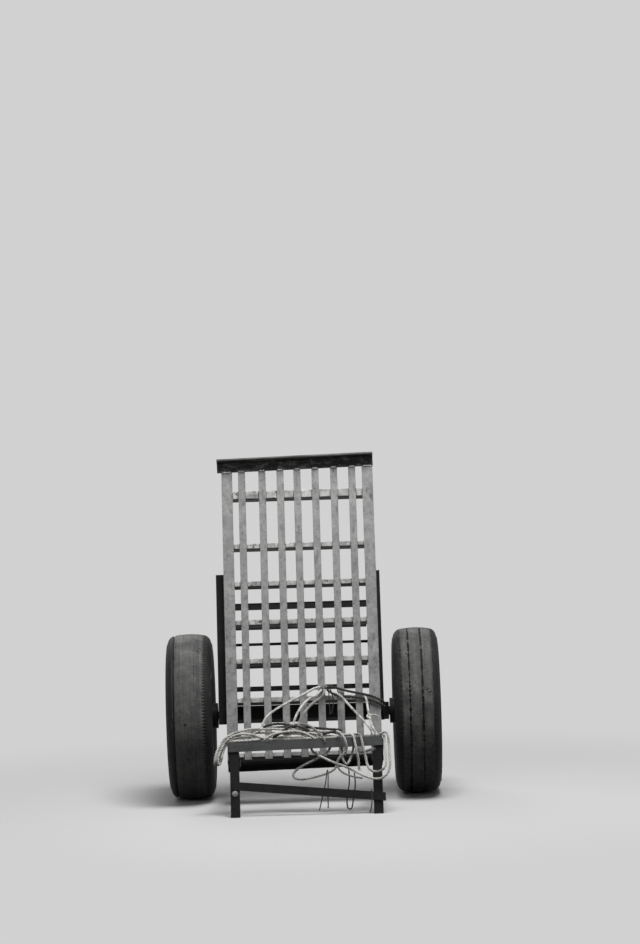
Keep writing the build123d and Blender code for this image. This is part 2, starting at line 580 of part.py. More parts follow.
# The routes of the free ropes and strings: x, y, z of each point with the cart parked
ROUTES = (
    ("rope_rise", ROPE_DIAMETER, (
        (-142, -310.5, 285), (-140, -303, 301), (-125, -270, 323), (-98, -226, 339), (-45, -144, 360),
        (5, -76, 377), (27, -37, 385), (44, -18, 391), (58.5, -13, 392.4),
    )),
    ("rope_pair_left", ROPE_DIAMETER, (
        (-38, -311.9, 289.8), (-35, -299, 302), (-24, -263, 324), (-7, -197, 345), (15, -110, 360),
        (38, -55, 365), (56, -24, 374), (64.2, -15.3, 382.9),
    )),
    ("rope_pair_right", ROPE_DIAMETER, (
        (-18, -312, 290.5), (-16, -300, 301), (-6, -266, 317), (12, -203, 337), (34, -117, 350),
        (58, -72, 359), (75, -33, 374), (73.4, -18.6, 384),
    )),
    ("rope_span_upper", ROPE_DIAMETER, (
        (85.8, -10.8, 393.1), (104, -9, 392), (132, -8, 382), (165, -9, 373), (205, -12, 365),
        (240, -15, 356), (258, -21, 347), (279, -19, 338), (277, 5, 323), (272.3, 18.6, 314.8),
    )),
    ("rope_span_lower", ROPE_DIAMETER, (
        (81.9, -13.1, 384.2), (97, -14, 370), (128, -14, 359), (165, -16, 357), (205, -17, 351),
        (240, -21, 342), (258, -26, 333), (279, -24, 324), (277, -1, 309), (272.3, 13.4, 300.7),
    )),
    ("rope_stay_long", ROPE_DIAMETER, (
        (112, -19.9, 371.9), (128, -34, 365), (150, -84, 343), (170, -133, 324), (192, -187, 305),
        (219, -268, 282), (233, -313, 262), (238, -331.2, 254.3),
    )),
    ("rope_stay_short", ROPE_DIAMETER, (
        (216, -26.3, 354), (219, -49, 345), (222, -108, 326), (225, -174, 302), (233, -254, 274),
        (245, -307, 260), (249, -328.8, 252.1),
    )),
    ("rope_drop", ROPE_DIAMETER, (
        (136.8, -325.6, 258), (150, -329, 259), (163, -340, 261), (169, -355, 253), (172, -364, 233),
        (177, -369, 206), (182, -370, 176), (183, -369, 147),
    )),
    ("rope_loop_inner", ROPE_DIAMETER, (
        (136.8, -310.8, 254.8), (158, -316, 257), (178, -330, 261), (190, -347, 261), (195, -361, 245),
        (199, -369, 218), (206, -373, 190), (209, -380, 165), (217, -392, 146), (236, -401, 137),
        (258, -405, 141), (274, -401, 158), (275, -387, 185), (274, -371, 211), (272, -354, 236),
        (272, -337, 250), (268, -326, 258), (261, -320, 256), (256, -318, 251),
    )),
    ("rope_loop_right", ROPE_DIAMETER, (
        (21, -298.1, 248.1), (21, -307, 224), (27, -322, 203), (45, -347, 194), (68, -359, 184),
        (100, -365, 168), (136, -367, 156), (177, -376, 135), (209, -392, 120), (247, -406, 112),
        (276, -407, 126), (289, -394, 158), (287, -377, 198), (286, -363, 232), (284, -352, 258),
        (276, -345, 267), (266, -341, 265), (256, -338.8, 257.3),
    )),
    ("rope_loop_left", ROPE_DIAMETER, (
        (112, -340.6, 272.5), (117, -354, 273), (127, -364, 266), (137, -370, 251), (143, -369, 229),
        (143, -367, 208), (128, -361, 194), (114, -354, 180), (109, -350, 163), (103, -348, 146),
        (80, -347, 133), (42, -346, 122), (2, -345, 114), (-30, -343, 114), (-44, -339, 128),
        (-28, -336, 147), (10, -335, 167), (50, -333, 184), (76, -327, 198), (90, -312, 216),
        (92, -302, 241),
    )),
    ("string_left", STRING_DIAMETER, (
        (45, -357, 8), (52, -356, 36), (60, -356, 66), (68, -355, 98), (73, -355, 126),
        (75, -354, 142), (77, -339, 142), (78, -339, 126), (77, -341, 98), (76, -343, 68),
        (75, -345, 40), (75, -346, 14),
    )),
    ("string_middle", TWINE_DIAMETER, (
        (148, -368.5, 143.5), (150, -369, 118), (147, -370, 88), (141, -371, 58), (138, -371, 34),
        (141, -371, 12), (154, -371, 10), (158, -371, 28), (162, -371, 54), (168, -372, 84),
        (169, -373, 112), (166, -373, 133.5),
    )),
    ("string_right", STRING_DIAMETER, (
        (222, -403.5, 58.7), (222, -397, 77), (223, -409, 81), (224, -415, 63), (223, -421, 44),
        (221, -422, 24), (216, -422, 8),
    )),
)
for name, diameter, route in ROUTES:
    lay_cord(name, diameter, route)
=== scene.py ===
# %% [markdown]
# # A porter's hand cart in Blender
#
# The cart is a slatted steel bed on two car wheels, with a toe frame, a stand and a tangle of lashing rope.
# Its steel was cut and welded from bar by hand, so it is all straight pieces, and it has lived outdoors.
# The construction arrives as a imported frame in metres. This lesson dresses it: cords, tyres, welds and paint.

# %% Load the frame
import math
import random

import bmesh
import bpy
import numpy as np
from mathutils import Matrix, Vector, noise


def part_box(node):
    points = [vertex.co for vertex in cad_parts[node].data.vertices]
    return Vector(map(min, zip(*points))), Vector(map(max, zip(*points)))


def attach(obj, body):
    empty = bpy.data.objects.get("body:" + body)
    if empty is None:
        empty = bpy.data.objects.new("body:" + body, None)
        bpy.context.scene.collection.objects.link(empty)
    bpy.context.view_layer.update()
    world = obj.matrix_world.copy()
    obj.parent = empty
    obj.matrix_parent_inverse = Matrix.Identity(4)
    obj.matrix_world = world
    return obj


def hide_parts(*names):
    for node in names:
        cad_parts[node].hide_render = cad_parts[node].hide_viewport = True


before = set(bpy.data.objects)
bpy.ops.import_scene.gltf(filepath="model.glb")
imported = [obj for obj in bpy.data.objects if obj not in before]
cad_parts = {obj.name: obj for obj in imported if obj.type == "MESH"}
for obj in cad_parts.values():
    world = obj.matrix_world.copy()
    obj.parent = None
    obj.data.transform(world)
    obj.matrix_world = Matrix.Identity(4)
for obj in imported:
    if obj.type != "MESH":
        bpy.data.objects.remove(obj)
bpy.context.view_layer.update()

# %% [markdown]
# ## The camera
#
# A long lens far away flattens the cart, and that is how the photograph was taken. The focal length and the
# distance come from how much smaller the far end of the bed looks than its foot. The camera could be aimed
# by hand, but a known point of the cart, the middle of its axle, and the place where it shows in the picture
# give the aim exactly.

# %% Place the camera
PICTURE_WIDTH = 640
PICTURE_HEIGHT = 944
AXLE_PIXEL = (304.0, 712.9)      # where the axle's middle shows
FOCAL_PIXELS = 3714.0
CAMERA_DISTANCE = 13.0           # metres, from the axle
CAMERA_HEIGHT = 1.622
CAMERA_ROLL = math.radians(1.77)
SENSOR_HEIGHT = 36.0             # millimetres
CLIP_END = 60.0                  # metres, past the rim of the floor

axle_low, axle_high = (Vector(corner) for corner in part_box("axle"))
axle = (axle_low + axle_high) / 2
axle.x = 0.0

camera_data = bpy.data.cameras.new("camera")
camera_data.sensor_fit = "VERTICAL"
camera_data.sensor_height = SENSOR_HEIGHT
camera_data.lens = FOCAL_PIXELS * SENSOR_HEIGHT / PICTURE_HEIGHT
camera_data.clip_end = CLIP_END
camera = bpy.data.objects.new("camera", camera_data)
bpy.context.scene.collection.objects.link(camera)

# The picture's own axes: what the roll leaves of the pixel's offset from the picture's middle
right_offset = AXLE_PIXEL[0] - PICTURE_WIDTH / 2
down_offset = AXLE_PIXEL[1] - PICTURE_HEIGHT / 2
level_right = right_offset * math.cos(CAMERA_ROLL) - down_offset * math.sin(CAMERA_ROLL)
level_down = right_offset * math.sin(CAMERA_ROLL) + down_offset * math.cos(CAMERA_ROLL)
drop_angle = math.atan2(CAMERA_HEIGHT - axle.z, CAMERA_DISTANCE)
pitch = drop_angle - math.atan2(level_down, FOCAL_PIXELS)
sideways = -level_right / FOCAL_PIXELS * CAMERA_DISTANCE

forward = Vector((0, math.cos(pitch), -math.sin(pitch)))
level_up = Vector((0, math.sin(pitch), math.cos(pitch)))
up = level_up * math.cos(CAMERA_ROLL) + Vector((1, 0, 0)) * math.sin(CAMERA_ROLL)
across = forward.cross(up)
turn = Matrix((across, up, -forward)).transposed()
camera.matrix_world = Matrix.Translation((sideways, axle.y - CAMERA_DISTANCE, CAMERA_HEIGHT)) @ turn.to_4x4()
bpy.context.scene.camera = camera
print("lens", round(camera_data.lens, 1), "mm, pitched down", round(math.degrees(pitch), 2), "degrees")

# %% [markdown]
# ## Where things lie on the leaning bed
#
# The bed leans back, so its pieces are easiest to think of in its own axes: across, up the bed, and out of
# its front. One small function turns such a place into the cart's metres. It takes millimetres, as a drawing
# does, and so does its sister for places in the cart's own upright frame.

# %% The bed's axes
LEAN = math.radians(20)
up_bed = Vector((0, math.sin(LEAN), math.cos(LEAN)))
out_of_bed = Vector((0, -math.cos(LEAN), math.sin(LEAN)))
MM = 0.001


def bed(x, s, n):
    """A place across the cart, up the bed and out of its front, in millimetres, as a point in metres."""
    return axle + Vector((x, 0, 0)) * MM + up_bed * (s * MM) + out_of_bed * (n * MM)


def cart(x, y, z):
    """A place in the cart's own frame, in millimetres, as a point in metres."""
    return Vector((x * MM, y * MM, z * MM))


def link(name, data):
    """A new object for this data, in the scene."""
    made = bpy.data.objects.new(name, data)
    bpy.context.scene.collection.objects.link(made)
    return made


print("the bed leans back", round(math.degrees(LEAN)), "degrees")

# %% [markdown]
# ## From rings of points to a piece
#
# Ropes, fibres, weld beads, the bolt and the valves are all built in one way: rings of points, each joined to
# the next by four sided faces. Blender's curves and its spin tool could make such shapes, but here the rings
# differ from each other. So a few helpers are shared: they set points round a circle, skin the rings, make
# the mesh, and give the piece its finish and the body that carries it.

# %% Skin, make and settle a piece
def circle(count):
    """This many angles, evenly round a circle."""
    return [2 * math.pi * place / count for place in range(count)]


def around(side, other, angle):
    """The direction at this angle from the first direction, towards the other."""
    return side * math.cos(angle) + other * math.sin(angle)


def skin(faces, first, rings, sides, capped=True):
    """Join rings of points that start at this corner, and close both ends where asked."""
    for ring in range(rings - 1):
        base = first + ring * sides
        for corner in range(sides):
            beside = (corner + 1) % sides
            faces.append((base + corner, base + beside, base + sides + beside, base + sides + corner))
    if capped:
        faces.append(tuple(reversed(range(first, first + sides))))
        faces.append(tuple(range(first + (rings - 1) * sides, first + rings * sides)))


def piece_of(name, corners, faces, smooth=True, **point_values):
    """A mesh object, with a named value at each of its points where some are given."""
    mesh = bpy.data.meshes.new(name)
    mesh.from_pydata(corners, [], faces, shade_flat=not smooth)
    for label, values in point_values.items():
        mesh.attributes.new(label, "FLOAT", "POINT").data.foreach_set("value", values)
    return link(name, mesh)


def settle(piece, finish, body="chassis", slot="rope_fibre"):
    """Give a piece its finish and the body that it rides on. The slot is not used."""
    piece.data.materials.append(finish)
    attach(piece, body)


# %% [markdown]
# ## Colours and nodes
#
# Every finish below is a node tree. One helper adds a node, sets its properties and links its inputs, and
# another turns a colour written as a web hex value into the linear light that a shader works in.

# %% Helpers for materials
def hex_colour(text):
    """An sRGB hex value as linear RGBA."""
    channels = [int(text[place:place + 2], 16) / 255 for place in (1, 3, 5)]
    return (*[c / 12.92 if c <= 0.04045 else ((c + 0.055) / 1.055) ** 2.4 for c in channels], 1.0)


def add(tree, kind, inputs=None, **settings):
    """Add a node and return its first output in use. An input is a socket to link, or a value to set."""
    made = tree.nodes.new(kind)
    for name, value in settings.items():
        setattr(made, name, value)
    for name, value in (inputs or {}).items():
        if isinstance(value, bpy.types.NodeSocket):
            tree.links.new(value, made.inputs[name])
        else:
            made.inputs[name].default_value = value
    return next((socket for socket in made.outputs if socket.enabled), None)


def per_metre(size_mm):
    """The scale that makes one feature of a pattern as big as a size in millimetres."""
    return 1000.0 / size_mm


def new_material(name):
    """An empty node material and its tree."""
    material = bpy.data.materials.new(name)
    material.use_nodes = True
    material.node_tree.nodes.clear()
    print("finish:", name)
    return material, material.node_tree


def finish_material(tree, **sockets):
    """Join a Principled shader with these inputs to the material's output."""
    names = {name.replace("_", " "): value for name, value in sockets.items()}
    shader = add(tree, "ShaderNodeBsdfPrincipled", names)
    add(tree, "ShaderNodeOutputMaterial", {"Surface": shader})


# %% Patterns and thresholds
def object_place(tree):
    """The surface's own coordinates, in metres, which ride with the piece."""
    return add(tree, "ShaderNodeTexCoord").node.outputs["Object"]


def cloud(tree, place, size_mm, detail=4.0, rough=0.55, stretch=None, offset=0.0):
    """Noise from 0 to 1 with blotches of a real size, stretched along an axis where asked."""
    if stretch or offset:
        place = add(tree, "ShaderNodeMapping", {
            "Vector": place, "Location": (offset, offset, offset), "Scale": stretch or (1, 1, 1),
        })
    return add(tree, "ShaderNodeTexNoise", {
        "Vector": place, "Scale": per_metre(size_mm), "Detail": detail, "Roughness": rough,
    })


def ramp(tree, value, *stops):
    """Map a value from 0 to 1 onto colours, each stop a place and a hex value."""
    made = add(tree, "ShaderNodeValToRGB", {"Fac": value}).node
    while len(made.color_ramp.elements) < len(stops):
        made.color_ramp.elements.new(0.5)
    for element, (place, colour) in zip(made.color_ramp.elements, stops):
        element.position = place
        element.color = hex_colour(colour)
    return made.outputs["Color"]


def step(tree, value, low, high):
    """A soft threshold: 0 under low, 1 over high."""
    return add(tree, "ShaderNodeMapRange", {
        "Value": value, "From Min": low, "From Max": high,
    }, interpolation_type="SMOOTHSTEP")


def blend_colours(tree, share, first, second, kind="MIX"):
    """Mix two colours by a share from 0 to 1."""
    colours = [hex_colour(c) if isinstance(c, str) else c for c in (first, second)]
    inputs = {0: share, 6: colours[0], 7: colours[1]}
    return add(tree, "ShaderNodeMix", inputs, data_type="RGBA", blend_type=kind)


def maths(tree, operation, *values):
    """One sum on one, two or three values."""
    return add(tree, "ShaderNodeMath", dict(enumerate(values)), operation=operation)


def bump(tree, height, depth_mm):
    """Raise the surface by a height from 0 to 1 times a real depth."""
    return add(tree, "ShaderNodeBump", {"Height": height, "Distance": depth_mm * MM, "Strength": 1.0})


# %% Masks: edges, directions and places
def measure(tree, operation, *vectors):
    """One number from one or two vectors, such as their distance."""
    made = add(tree, "ShaderNodeVectorMath", dict(enumerate(vectors)), operation=operation)
    return made.node.outputs["Value"]


def worn_edge(tree, reach_mm):
    """1 along the sharp edges of a piece and 0 on its flats."""
    rounded = add(tree, "ShaderNodeBevel", {"Radius": reach_mm * MM}, samples=4)
    true = add(tree, "ShaderNodeNewGeometry").node.outputs["Normal"]
    return step(tree, measure(tree, "DOT_PRODUCT", rounded, true), 0.995, 0.90)


def facing(tree, direction, low, high):
    """1 where the surface faces this way, 0 where it faces elsewhere. The cart's frame never turns."""
    normal = add(tree, "ShaderNodeNewGeometry").node.outputs["True Normal"]
    return step(tree, measure(tree, "DOT_PRODUCT", normal, direction), low, high)


def reach_along(tree, direction):
    """How far a point is from the axle in this direction, in metres."""
    from_axle = add(tree, "ShaderNodeVectorMath", {0: object_place(tree), 1: axle}, operation="SUBTRACT")
    return measure(tree, "DOT_PRODUCT", from_axle, direction)


def stain(tree, share, colour, grime):
    """Darken a colour by another, by a share from 0 to 1."""
    return blend_colours(tree, share, colour, grime, kind="MULTIPLY")


def partly(tree, share, strength):
    """A share made smaller by another, or by a number under 1."""
    return maths(tree, "MULTIPLY", share, strength)


# %% [markdown]
# ## Painted steel
#
# The bed is mild steel bar, brush painted with grey enamel and then used hard. The paint is semi-matt and
# has faded, rain has run dirt down it, and knocks have chipped its edges down to dark rusty steel. It could
# be one flat grey, but then the bars would look like plastic. So the finish is built in layers, each at the
# size that the real thing has: broad fading, long dirt runs, then chips that gather at the edges.

# %% Enamel on steel bar
UP_RUNS = (1.0, 1.0, 0.12)       # stretches a pattern along upright bars
ACROSS_RUNS = (0.12, 1.0, 1.0)   # and along bars that lie across the cart


def worn_enamel(name, paint, faded, bare, grime, chip_share, runs=UP_RUNS, underside_shade=None):
    """Brushed enamel with fading, dirt runs and chips down to steel. Where its colour is given, painted shade
    darkens the undersides.
    """
    material, tree = new_material(name)
    place = object_place(tree)
    fading = cloud(tree, place, 48, detail=6, rough=0.62)
    colour = ramp(tree, fading, (0.34, paint), (0.66, faded))
    mottle = cloud(tree, place, 13, detail=5, rough=0.7, offset=11.3)
    colour = stain(tree, partly(tree, step(tree, mottle, 0.46, 0.66), 0.38), colour, grime)
    dirt_runs = cloud(tree, place, 14, detail=6, rough=0.6, stretch=runs, offset=3.1)
    colour = stain(tree, partly(tree, step(tree, dirt_runs, 0.52, 0.74), 0.8), colour, grime)
    speck = cloud(tree, place, 3.5, detail=3, rough=0.7, offset=7.7)
    colour = stain(tree, step(tree, speck, 0.60, 0.72), colour, grime)
    patch = cloud(tree, place, 32, detail=8, rough=0.72, offset=1.3)
    edge = partly(tree, worn_edge(tree, 2.2), 0.22)
    chipped = step(tree, maths(tree, "ADD", patch, edge), 1.0 - chip_share, 1.02 - chip_share)
    rust = cloud(tree, place, 9, detail=6, offset=5.0)
    bare_colour = ramp(tree, rust, (0.35, bare), (0.70, "#474341"))
    colour = blend_colours(tree, chipped, colour, bare_colour)
    # Painted shade: where a colour is given, faces that look down the bed turn dark, in ragged patches.
    if underside_shade:
        ragged = maths(tree, "MULTIPLY_ADD", patch, 0.5, facing(tree, -up_bed, 0.2, 0.8))
        colour = blend_colours(tree, step(tree, ragged, 0.70, 0.80), colour, underside_shade)
    roughness = maths(tree, "MULTIPLY_ADD", dirt_runs, 0.25, 0.45)
    brush = cloud(tree, place, 1.6, detail=3, stretch=runs)
    height = maths(tree, "MULTIPLY_ADD", brush, 0.25, maths(tree, "MULTIPLY", chipped, -0.75))
    finish_material(tree, Base_Color=colour, Roughness=roughness, IOR=1.5, Normal=bump(tree, height, 0.35))
    return material


ENAMELS = (   # name, paint, faded paint, bare steel, grime, share of chips, which way dirt ran, painted shade on the undersides
    ("slat_enamel", "#7c7c7c", "#999998", "#333231", "#878684", 0.325),
    ("bar_enamel", "#7f7f7e", "#c4c4c2", "#35332f", "#6f6d6a", 0.41, ACROSS_RUNS, "#121212"),
    ("toe_enamel", "#242526", "#3a3b3c", "#121110", "#7b7875", 0.34, ACROSS_RUNS, "#101010"),
    ("rim_enamel", "#666666", "#80807f", "#292725", "#73706c", 0.37),
)
slat_enamel, bar_enamel, toe_enamel, rim_enamel = (worn_enamel(*enamel) for enamel in ENAMELS)

# %% [markdown]
# ## Bare and blackened steel
#
# The axle, the rear frame and the stand are hot rolled steel that was never repainted. Hot rolling leaves
# mill scale, a blue-black oxide with a dull sheen, and rust blooms through it where water sits. Scale is an
# oxide, not bare metal, so its shader is only slightly metallic. The hubs' iron, the zinc plate of the small
# parts and the welds' own metal are made in the same way.

# %% Mill scale, iron and zinc
def dark_metal(name, scale, light, rust, rust_share, metallic, smoothest, grain_mm, gleam):
    """Oxidised or plated steel with blooms of rust and a fine grain. Gleam is lower under dust and grease."""
    material, tree = new_material(name)
    place = object_place(tree)
    tone = cloud(tree, place, 45, detail=6, rough=0.6)
    colour = ramp(tree, tone, (0.30, scale), (0.75, light))
    bloom = cloud(tree, place, 18, detail=8, rough=0.7, offset=4.2)
    edge = partly(tree, worn_edge(tree, 2.0), 0.12)
    rusted = step(tree, maths(tree, "ADD", bloom, edge), 0.80 - rust_share, 0.90 - rust_share)
    colour = blend_colours(tree, rusted, colour, rust)
    grain = cloud(tree, place, grain_mm, detail=4, rough=0.7)
    clean_roughness = maths(tree, "MULTIPLY_ADD", grain, 0.2, smoothest)
    roughness = maths(tree, "MULTIPLY_ADD", rusted, 0.3, clean_roughness)
    metal = maths(tree, "MULTIPLY", maths(tree, "SUBTRACT", 1.0, rusted), metallic)
    height = maths(tree, "MULTIPLY_ADD", rusted, 0.6, grain)
    finish_material(tree, Base_Color=colour, Roughness=roughness, Metallic=metal, Specular_IOR_Level=gleam,
                    Normal=bump(tree, height, 0.3))
    return material


METALS = (   # name, scale, its lighter parts, rust, share of rust, metallic, roughness, grain in mm, gleam
    ("mill_scale", "#0d0d0e", "#202022", "#2b2825", 0.22, 0.20, 0.55, 2.5, 0.18),
    ("hub_iron", "#161616", "#2b2a29", "#2f2b28", 0.18, 0.20, 0.48, 3.0, 0.30),
    ("zinc_plate", "#707173", "#949597", "#504a45", 0.16, 0.85, 0.34, 1.2, 0.5),
    ("weld_metal", "#2b2b2b", "#5a5a59", "#3f3933", 0.19, 0.55, 0.40, 1.6, 0.5),
)
mill_scale, hub_iron, zinc_plate, weld_metal = (dark_metal(*metal) for metal in METALS)

# %% [markdown]
# ## The handle bar's two faces
#
# The handle is a steel angle. The edge and the top of its flange are a pale grey, partly rubbed by years of
# use and partly painted light, while the web under it is near black, black paint with painted shade under the
# flange, and has smears of dust and weld spatter. So the finish looks at where a point is on the angle: near
# the flange's edge or facing up the bed it is pale.

# %% Black paint and painted shade, pale on the flange from rubbing and painted light
FLANGE_EDGE_FROM = 0.190         # metres out of the bed, where the pale edge of the flange begins, rubbed and painted lit
FLANGE_EDGE_FADE = 0.004         # and over how many metres it sets in


def rubbed_and_lit_paint():
    """Black paint with smears and painted shade on the web, pale on the flange's top and edge from rubbing and
    painted light.
    """
    material, tree = new_material("rubbed_and_lit_paint")
    place = object_place(tree)
    smear = cloud(tree, place, 22, detail=7, rough=0.68, stretch=(0.5, 1.0, 1.0))
    # The web's near black is black paint and painted shade under the flange.
    web = ramp(tree, smear, (0.42, "#0c0c0c"), (0.51, "#262626"), (0.61, "#6b6a68"))
    spatter = cloud(tree, place, 5, detail=4, rough=0.7, offset=6.2)
    web = blend_colours(tree, step(tree, spatter, 0.60, 0.68), web, "#6a6967")
    polish = cloud(tree, place, 26, detail=6, rough=0.6, stretch=(0.25, 1.0, 1.0), offset=2.7)
    # The pale grey is rubbed paint and painted light on the flange's edge and top.
    rubbed_and_lit = ramp(tree, polish, (0.36, "#484847"), (0.64, "#82827f"))
    edge = step(tree, reach_along(tree, out_of_bed), FLANGE_EDGE_FROM, FLANGE_EDGE_FROM + FLANGE_EDGE_FADE)
    worn_and_lit = maths(tree, "MAXIMUM", edge, facing(tree, up_bed, 0.5, 0.9))
    ragged = step(tree, maths(tree, "MULTIPLY_ADD", smear, -0.35, worn_and_lit), 0.35, 0.62)
    colour = blend_colours(tree, ragged, web, rubbed_and_lit)
    roughness = maths(tree, "MULTIPLY_ADD", ragged, -0.14, 0.58)
    grain = cloud(tree, place, 2, detail=4, rough=0.7)
    finish_material(tree, Base_Color=colour, Roughness=roughness, Specular_IOR_Level=0.25,
                    Normal=bump(tree, grain, 0.3))
    return material


handle_paint = rubbed_and_lit_paint()

# %% [markdown]
# ## Tyre rubber
#
# Tyres are vulcanised rubber filled with carbon black. Fresh rubber is nearly black with a soft sheen, and
# the walls stay nearly as dark. The tread is scuffed grey and matt by long use, in faint bands round it, and
# fine cracks open where the casing flexes. The bands run round the tyre, so their noise is stretched that
# way. The left tread also has one small hole in it, shown only as a spot of painted shade.

# %% Scuffed rubber
WHEEL_MIDDLE = 0.395             # metres, from the cart's middle to each tyre's
TREAD_HALF = 0.050               # half the width of the scuffed band
HOLE_PLACE = axle + cart(-408, -288.5, 0)    # a small hole in the left tread, shown only as a spot of painted shade
HOLE_SHADE_RADII = (0.0034, 0.0052)    # metres, where it is quite black and where its rim ends


def scuffed_rubber():
    """Rubber with a scuffed tread, darker walls, cracks, and painted shade in whatever is cut into it."""
    material, tree = new_material("scuffed_rubber")
    place = object_place(tree)
    split = add(tree, "ShaderNodeSeparateXYZ", {"Vector": place}).node
    aside = maths(tree, "ABSOLUTE", split.outputs["X"])
    from_middle = maths(tree, "ABSOLUTE", maths(tree, "SUBTRACT", aside, WHEEL_MIDDLE))
    tone = cloud(tree, place, 60, detail=6, rough=0.6)
    tread = ramp(tree, tone, (0.34, "#454545"), (0.52, "#595958"), (0.70, "#71716f"))
    band = cloud(tree, place, 11, detail=3, rough=0.6, stretch=(1.0, 0.03, 0.03), offset=6.6)
    tread = stain(tree, partly(tree, step(tree, band, 0.42, 0.62), 0.45), tread, "#8f8f8d")
    wall = ramp(tree, tone, (0.34, "#151515"), (0.56, "#212121"), (0.75, "#323131"))
    feather = maths(tree, "MULTIPLY_ADD", tone, 0.010, from_middle)
    shoulder = step(tree, feather, TREAD_HALF + 0.003, TREAD_HALF + 0.013)
    colour = blend_colours(tree, shoulder, tread, wall)
    scuff = cloud(tree, place, 5, detail=5, rough=0.75, stretch=(0.25, 1.0, 1.0), offset=2.0)
    scuffed = partly(tree, step(tree, scuff, 0.55, 0.72), maths(tree, "MULTIPLY_ADD", shoulder, -0.7, 1.0))
    colour = blend_colours(tree, scuffed, colour, "#757472")
    scratch = cloud(tree, place, 4, detail=2, rough=0.5, stretch=(1.0, 0.06, 0.06), offset=14.0)
    more_on_wall = maths(tree, "MULTIPLY_ADD", shoulder, 0.18, 0.2)
    scratched = partly(tree, step(tree, scratch, 0.68, 0.74), more_on_wall)
    colour = blend_colours(tree, scratched, colour, "#8b8a88")
    cells = {"Vector": place, "Scale": per_metre(16)}
    crack = add(tree, "ShaderNodeTexVoronoi", cells, feature="DISTANCE_TO_EDGE")
    weather = cloud(tree, place, 55, detail=3, offset=9.0)
    cracked = partly(tree, step(tree, crack, 0.05, 0.0), step(tree, weather, 0.48, 0.62))
    colour = blend_colours(tree, cracked, colour, "#161616")
    cut_shade = add(tree, "ShaderNodeAttribute", attribute_name="cut").node.outputs["Fac"]
    # Painted shade: the cuts turn darker the deeper they go.
    colour = blend_colours(tree, step(tree, cut_shade, 0.15, 0.6), colour, "#0e0e0e")
    from_hole = measure(tree, "DISTANCE", place, HOLE_PLACE)
    # Painted shade: a near black spot where the hole is, with no hole in the tread.
    colour = blend_colours(tree, step(tree, from_hole, HOLE_SHADE_RADII[1], HOLE_SHADE_RADII[0]), colour, "#060606")
    grain = cloud(tree, place, 1.5, detail=4, rough=0.8)
    height = maths(tree, "SUBTRACT", maths(tree, "MULTIPLY", grain, 0.5), cracked)
    roughness = maths(tree, "MULTIPLY_ADD", tone, 0.2, 0.62)
    finish_material(tree, Base_Color=colour, Roughness=roughness, Specular_IOR_Level=0.22,
                    Normal=bump(tree, height, 0.5))
    return material


tyre_rubber = scuffed_rubber()

# %% [markdown]
# ## Rope and twine
#
# The lashing is soft laid cord, three strands twisted together, washed out to a pale grey and dirty where it
# has been handled. Its fibres scatter light at grazing angles, which the sheen gives. Some lengths are older
# and nearly black with grease. The strands are modelled, and the finish adds fibre, soiling and painted shade
# in the grooves between the strands.

# %% Cord fibres
def cord_fibre(name, clean, soiled, soil_share, roughness):
    """Twisted fibre, with painted shade in the grooves. The lay attribute is 1 on the strands' backs and 0 down
    in the grooves between them.
    """
    material, tree = new_material(name)
    place = object_place(tree)
    soiling = cloud(tree, place, 46, detail=7, rough=0.68)
    colour = ramp(tree, soiling, (0.60 - soil_share, clean), (0.78 - soil_share, soiled))
    fibre = cloud(tree, place, 0.9, detail=3, rough=0.7)
    colour = stain(tree, step(tree, fibre, 0.45, 0.75), colour, "#bdbab4")
    lay = add(tree, "ShaderNodeAttribute", attribute_name="lay").node.outputs["Fac"]
    # Painted shade: the grooves between the strands are darkened.
    colour = stain(tree, step(tree, lay, 0.80, 0.25), colour, "#5d5a56")
    finish_material(tree, Base_Color=colour, Roughness=roughness, Sheen_Weight=0.35, Sheen_Roughness=0.5,
                    Normal=bump(tree, fibre, 0.25))
    return material


CORDS = (   # name, clean, soiled, share of soiling, roughness
    ("pale_cord", "#e3e2de", "#8f8d88", 0.13, 0.85),
    ("grey_cord", "#a09e9a", "#5f5d59", 0.15, 0.88),
    ("black_cord", "#3a3836", "#211f1e", 0.15, 0.9),
)
pale_cord, grey_cord, black_cord = (cord_fibre(*cord) for cord in CORDS)

# %% [markdown]
# ## Cords
#
# A laid rope is three strands twisted round each other. A plain round tube could stand for it, with the twist
# painted on, but close up its outline would be too clean. So each cord here is a mesh swept along its route,
# with a section of three lobes that turns as it goes. The route is a smooth NURBS curve through listed
# control points, and Blender itself is asked for the points along it.

# %% Routes: a smooth line with even steps
def smooth_line(points):
    """Points close together along the NURBS spline that these control points make."""
    curve = bpy.data.curves.new("route", "CURVE")
    curve.dimensions = "3D"
    curve.resolution_u = 12
    spline = curve.splines.new("NURBS")
    spline.points.add(len(points) - 1)
    for point, place in zip(spline.points, points):
        point.co = (*place, 1.0)
    spline.order_u = 3
    spline.use_endpoint_u = True
    holder = link("route", curve)
    mesh = bpy.data.meshes.new_from_object(holder)
    line = [vertex.co.copy() for vertex in mesh.vertices]
    bpy.data.objects.remove(holder)
    bpy.data.meshes.remove(mesh)
    bpy.data.curves.remove(curve)
    return line


def length_of(line):
    """How long a line of points is, in metres."""
    return sum((after - before).length for before, after in zip(line, line[1:]))


def spread_evenly(line, spacing):
    """The same line with points a set distance apart."""
    count = max(2, round(length_of(line) / spacing))
    travelled = [0.0]
    for before, after in zip(line, line[1:]):
        travelled.append(travelled[-1] + (after - before).length)
    places = np.linspace(0, travelled[-1], count + 1)
    columns = [np.interp(places, travelled, [point[axis] for point in line]) for axis in range(3)]
    return [Vector(point) for point in zip(*columns)]


